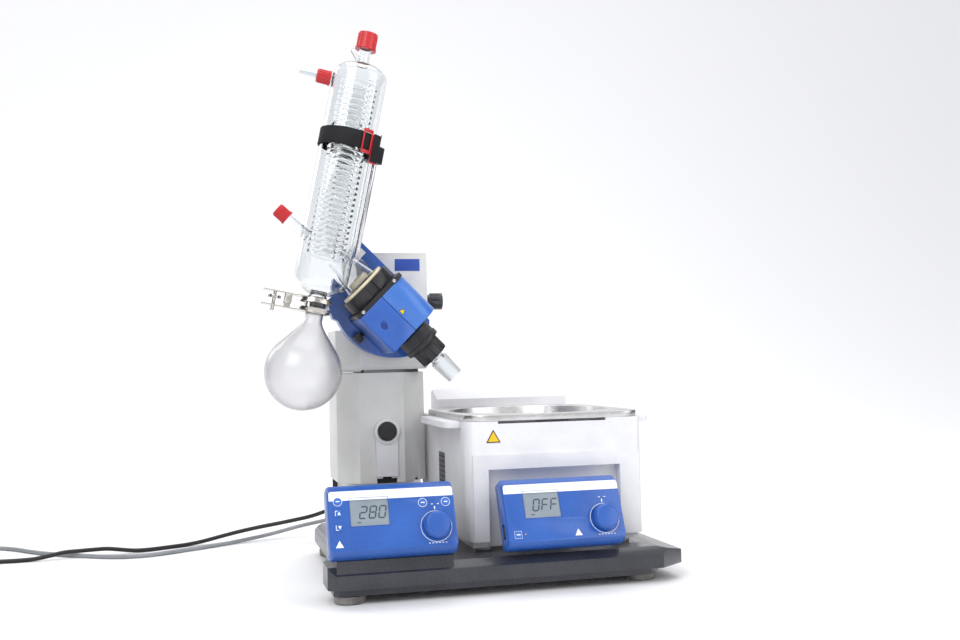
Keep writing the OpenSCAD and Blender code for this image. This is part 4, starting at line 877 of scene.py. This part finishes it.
    def triangle(self, at, size, face, key, lift=FACE_LIFT):
        x, y = at
        return self.plate("triangle", [(x - size, y - size * 0.8), (x + size, y - size * 0.8),
                                       (x, y + size)], face, key, lift)

    def digit(self, x, y, letter, face):
        w, h, slant = 8.2, 15.5, 0.2
        spots = [((0, h), (w, h)), ((w, h), (w, h / 2)), ((w, h / 2), (w, 0)), ((w, 0), (0, 0)),
                 ((0, 0), (0, h / 2)), ((0, h / 2), (0, h)), ((0, h / 2), (w, h / 2))]
        out = []
        for on, (a, b) in zip(self.digits[letter], spots):
            if on == "1":
                a, b = Vector(a), Vector(b)
                step = (b - a).normalized() * 1.1
                a, b = a + step, b - step
                out.append(self.bar("seg", (x + a.x + slant * a.y, y + a.y),
                                    (x + b.x + slant * b.y, y + b.y), 1.75, face, "digits",
                                    DISPLAY_LIFT))
        return out


class LabelsOperator(bpy.types.Operator):
    """Adds the plain badge and the yellow triangles"""
    bl_idname = "evaporator.labels"
    bl_label = "Labels"

    def execute(self, context):
        front = basis(Vector((0, 0, 0)), Vector((1, 0, 0)), Vector((0, 0, 1)),
                      Vector((0, -1, 0)))
        badge = block("tower_badge", (40, 19, 0.8), (162.5, 467.5, -284.8), front,
                      material("badge"), 0.3)
        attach(badge, "lift")
        bath = self.sign("bath_warning_label", (238.5, 204.5), 12, -67.6, front)
        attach(bath, "bath")
        head = self.sign("head_warning_label", (-19.5, 5.8), 5.6, 0.0, HEAD_FACE)
        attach(head, "head")
        oval = spun("head_recess_floor", [(0.01, 0.1), (4.9, 0.1), (4.9, 0.0), (0.01, 0.0)],
                    HEAD_FACE @ Matrix.Translation((-24, -28, -1.2))
                    @ Matrix.Rotation(radians(30), 4, "Z") @ Matrix.Diagonal((1.5, 1, 1, 1)),
                    material("oval"), 40)
        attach(oval, "head")
        screws = [spun("screw", [(0.01, 1.2), (1.1, 1.2), (1.1, 1.8), (2.6, 1.6), (2.8, 1.0),
                                 (2.8, -1.2), (0.01, -1.2)],
                       HEAD_FACE @ Matrix.Translation((-59.6, v, -1.0)), material("chrome"), 24)
                  for v in (30, -35)]
        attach(merge_pieces("flange_screws", screws), "head")
        self.openings()
        return {"FINISHED"}

    def openings(self):
        """Paints shade into the vents in the bath's sides and into the opening under the end stop:
        thin dark pieces stand in for the shade inside them.
        """
        for side, x in (("left", 201.1), ("right", 462.9)):
            slats = [block("vent", (0.6, 44.6, 79.6), (x, 230.5, 135), BENCH, material("vent"), 0)]
            # Painted shade: dark strips stand in for the shade in the gaps between the vent's
            # louvres
            slats += [block("slat", (1.0, 44.4, 1.6), (x, 230.5, 101 + 7.5 * k), BENCH,
                            material("dark"), 0.2) for k in range(10)]
            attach(merge_pieces("bath_vent_" + side, slats), "bath")
        # Painted shade: a dark plate stands in for the shade inside the opening under the end stop
        mouth = block("tower_foot_opening_painted_shade", (31.4, 1.0, 7.6), (125.5, 295.5, 128), BENCH,
                      material("dark"), 0)
        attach(mouth, "base")

    def sign(self, name, at, size, depth, face):
        parts = []
        for s, key, lift in ((size, "dark", 0.0), (size * 0.78, "yellow", 0.25)):
            begin()
            bpy.ops.mesh.primitive_circle_add(vertices=3, radius=s, fill_type="NGON")
            bpy.ops.object.mode_set(mode="EDIT")
            bpy.ops.mesh.extrude_region_move(TRANSFORM_OT_translate={"value": (0, 0, 0.3)})
            bpy.ops.mesh.select_all(action="SELECT")
            bpy.ops.mesh.normals_make_consistent(inside=False)
            bpy.ops.object.mode_set(mode="OBJECT")
            place = face @ Matrix.Translation((at[0], at[1], depth + lift))
            parts.append(settle("sign", place, material(key)))
        return merge_pieces(name, parts)


class EvaporatorPanel(bpy.types.Panel):
    bl_idname = "VIEW3D_PT_evaporator"
    bl_label = "Evaporator"
    bl_space_type = "VIEW_3D"
    bl_region_type = "UI"
    bl_category = "Evaporator"

    def draw(self, context):
        for group in (context.scene.evaporator_sizes, context.scene.evaporator_look):
            for key in group.__annotations__:
                self.layout.prop(group, key)
        for op in OPERATORS:
            self.layout.operator(op.bl_idname)


OPERATORS = [StageOperator, CordsOperator, FinishesOperator, GlassOperator, CoilOperator,
             StrapOperator, PanelPrintOperator, LabelsOperator]
CLASSES = [EvaporatorSizes, EvaporatorLook] + OPERATORS + [EvaporatorPanel]


def register():
    for cls in CLASSES:
        bpy.utils.register_class(cls)
    bpy.types.Scene.evaporator_sizes = PointerProperty(type=EvaporatorSizes)
    bpy.types.Scene.evaporator_look = PointerProperty(type=EvaporatorLook)


def unregister():
    del bpy.types.Scene.evaporator_look
    del bpy.types.Scene.evaporator_sizes
    for cls in reversed(CLASSES):
        bpy.utils.unregister_class(cls)


def main():
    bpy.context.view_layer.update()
    register()
    for op in OPERATORS:
        group, name = op.bl_idname.split(".")
        getattr(getattr(bpy.ops, group), name)()


if __name__ == "__main__":
    main()
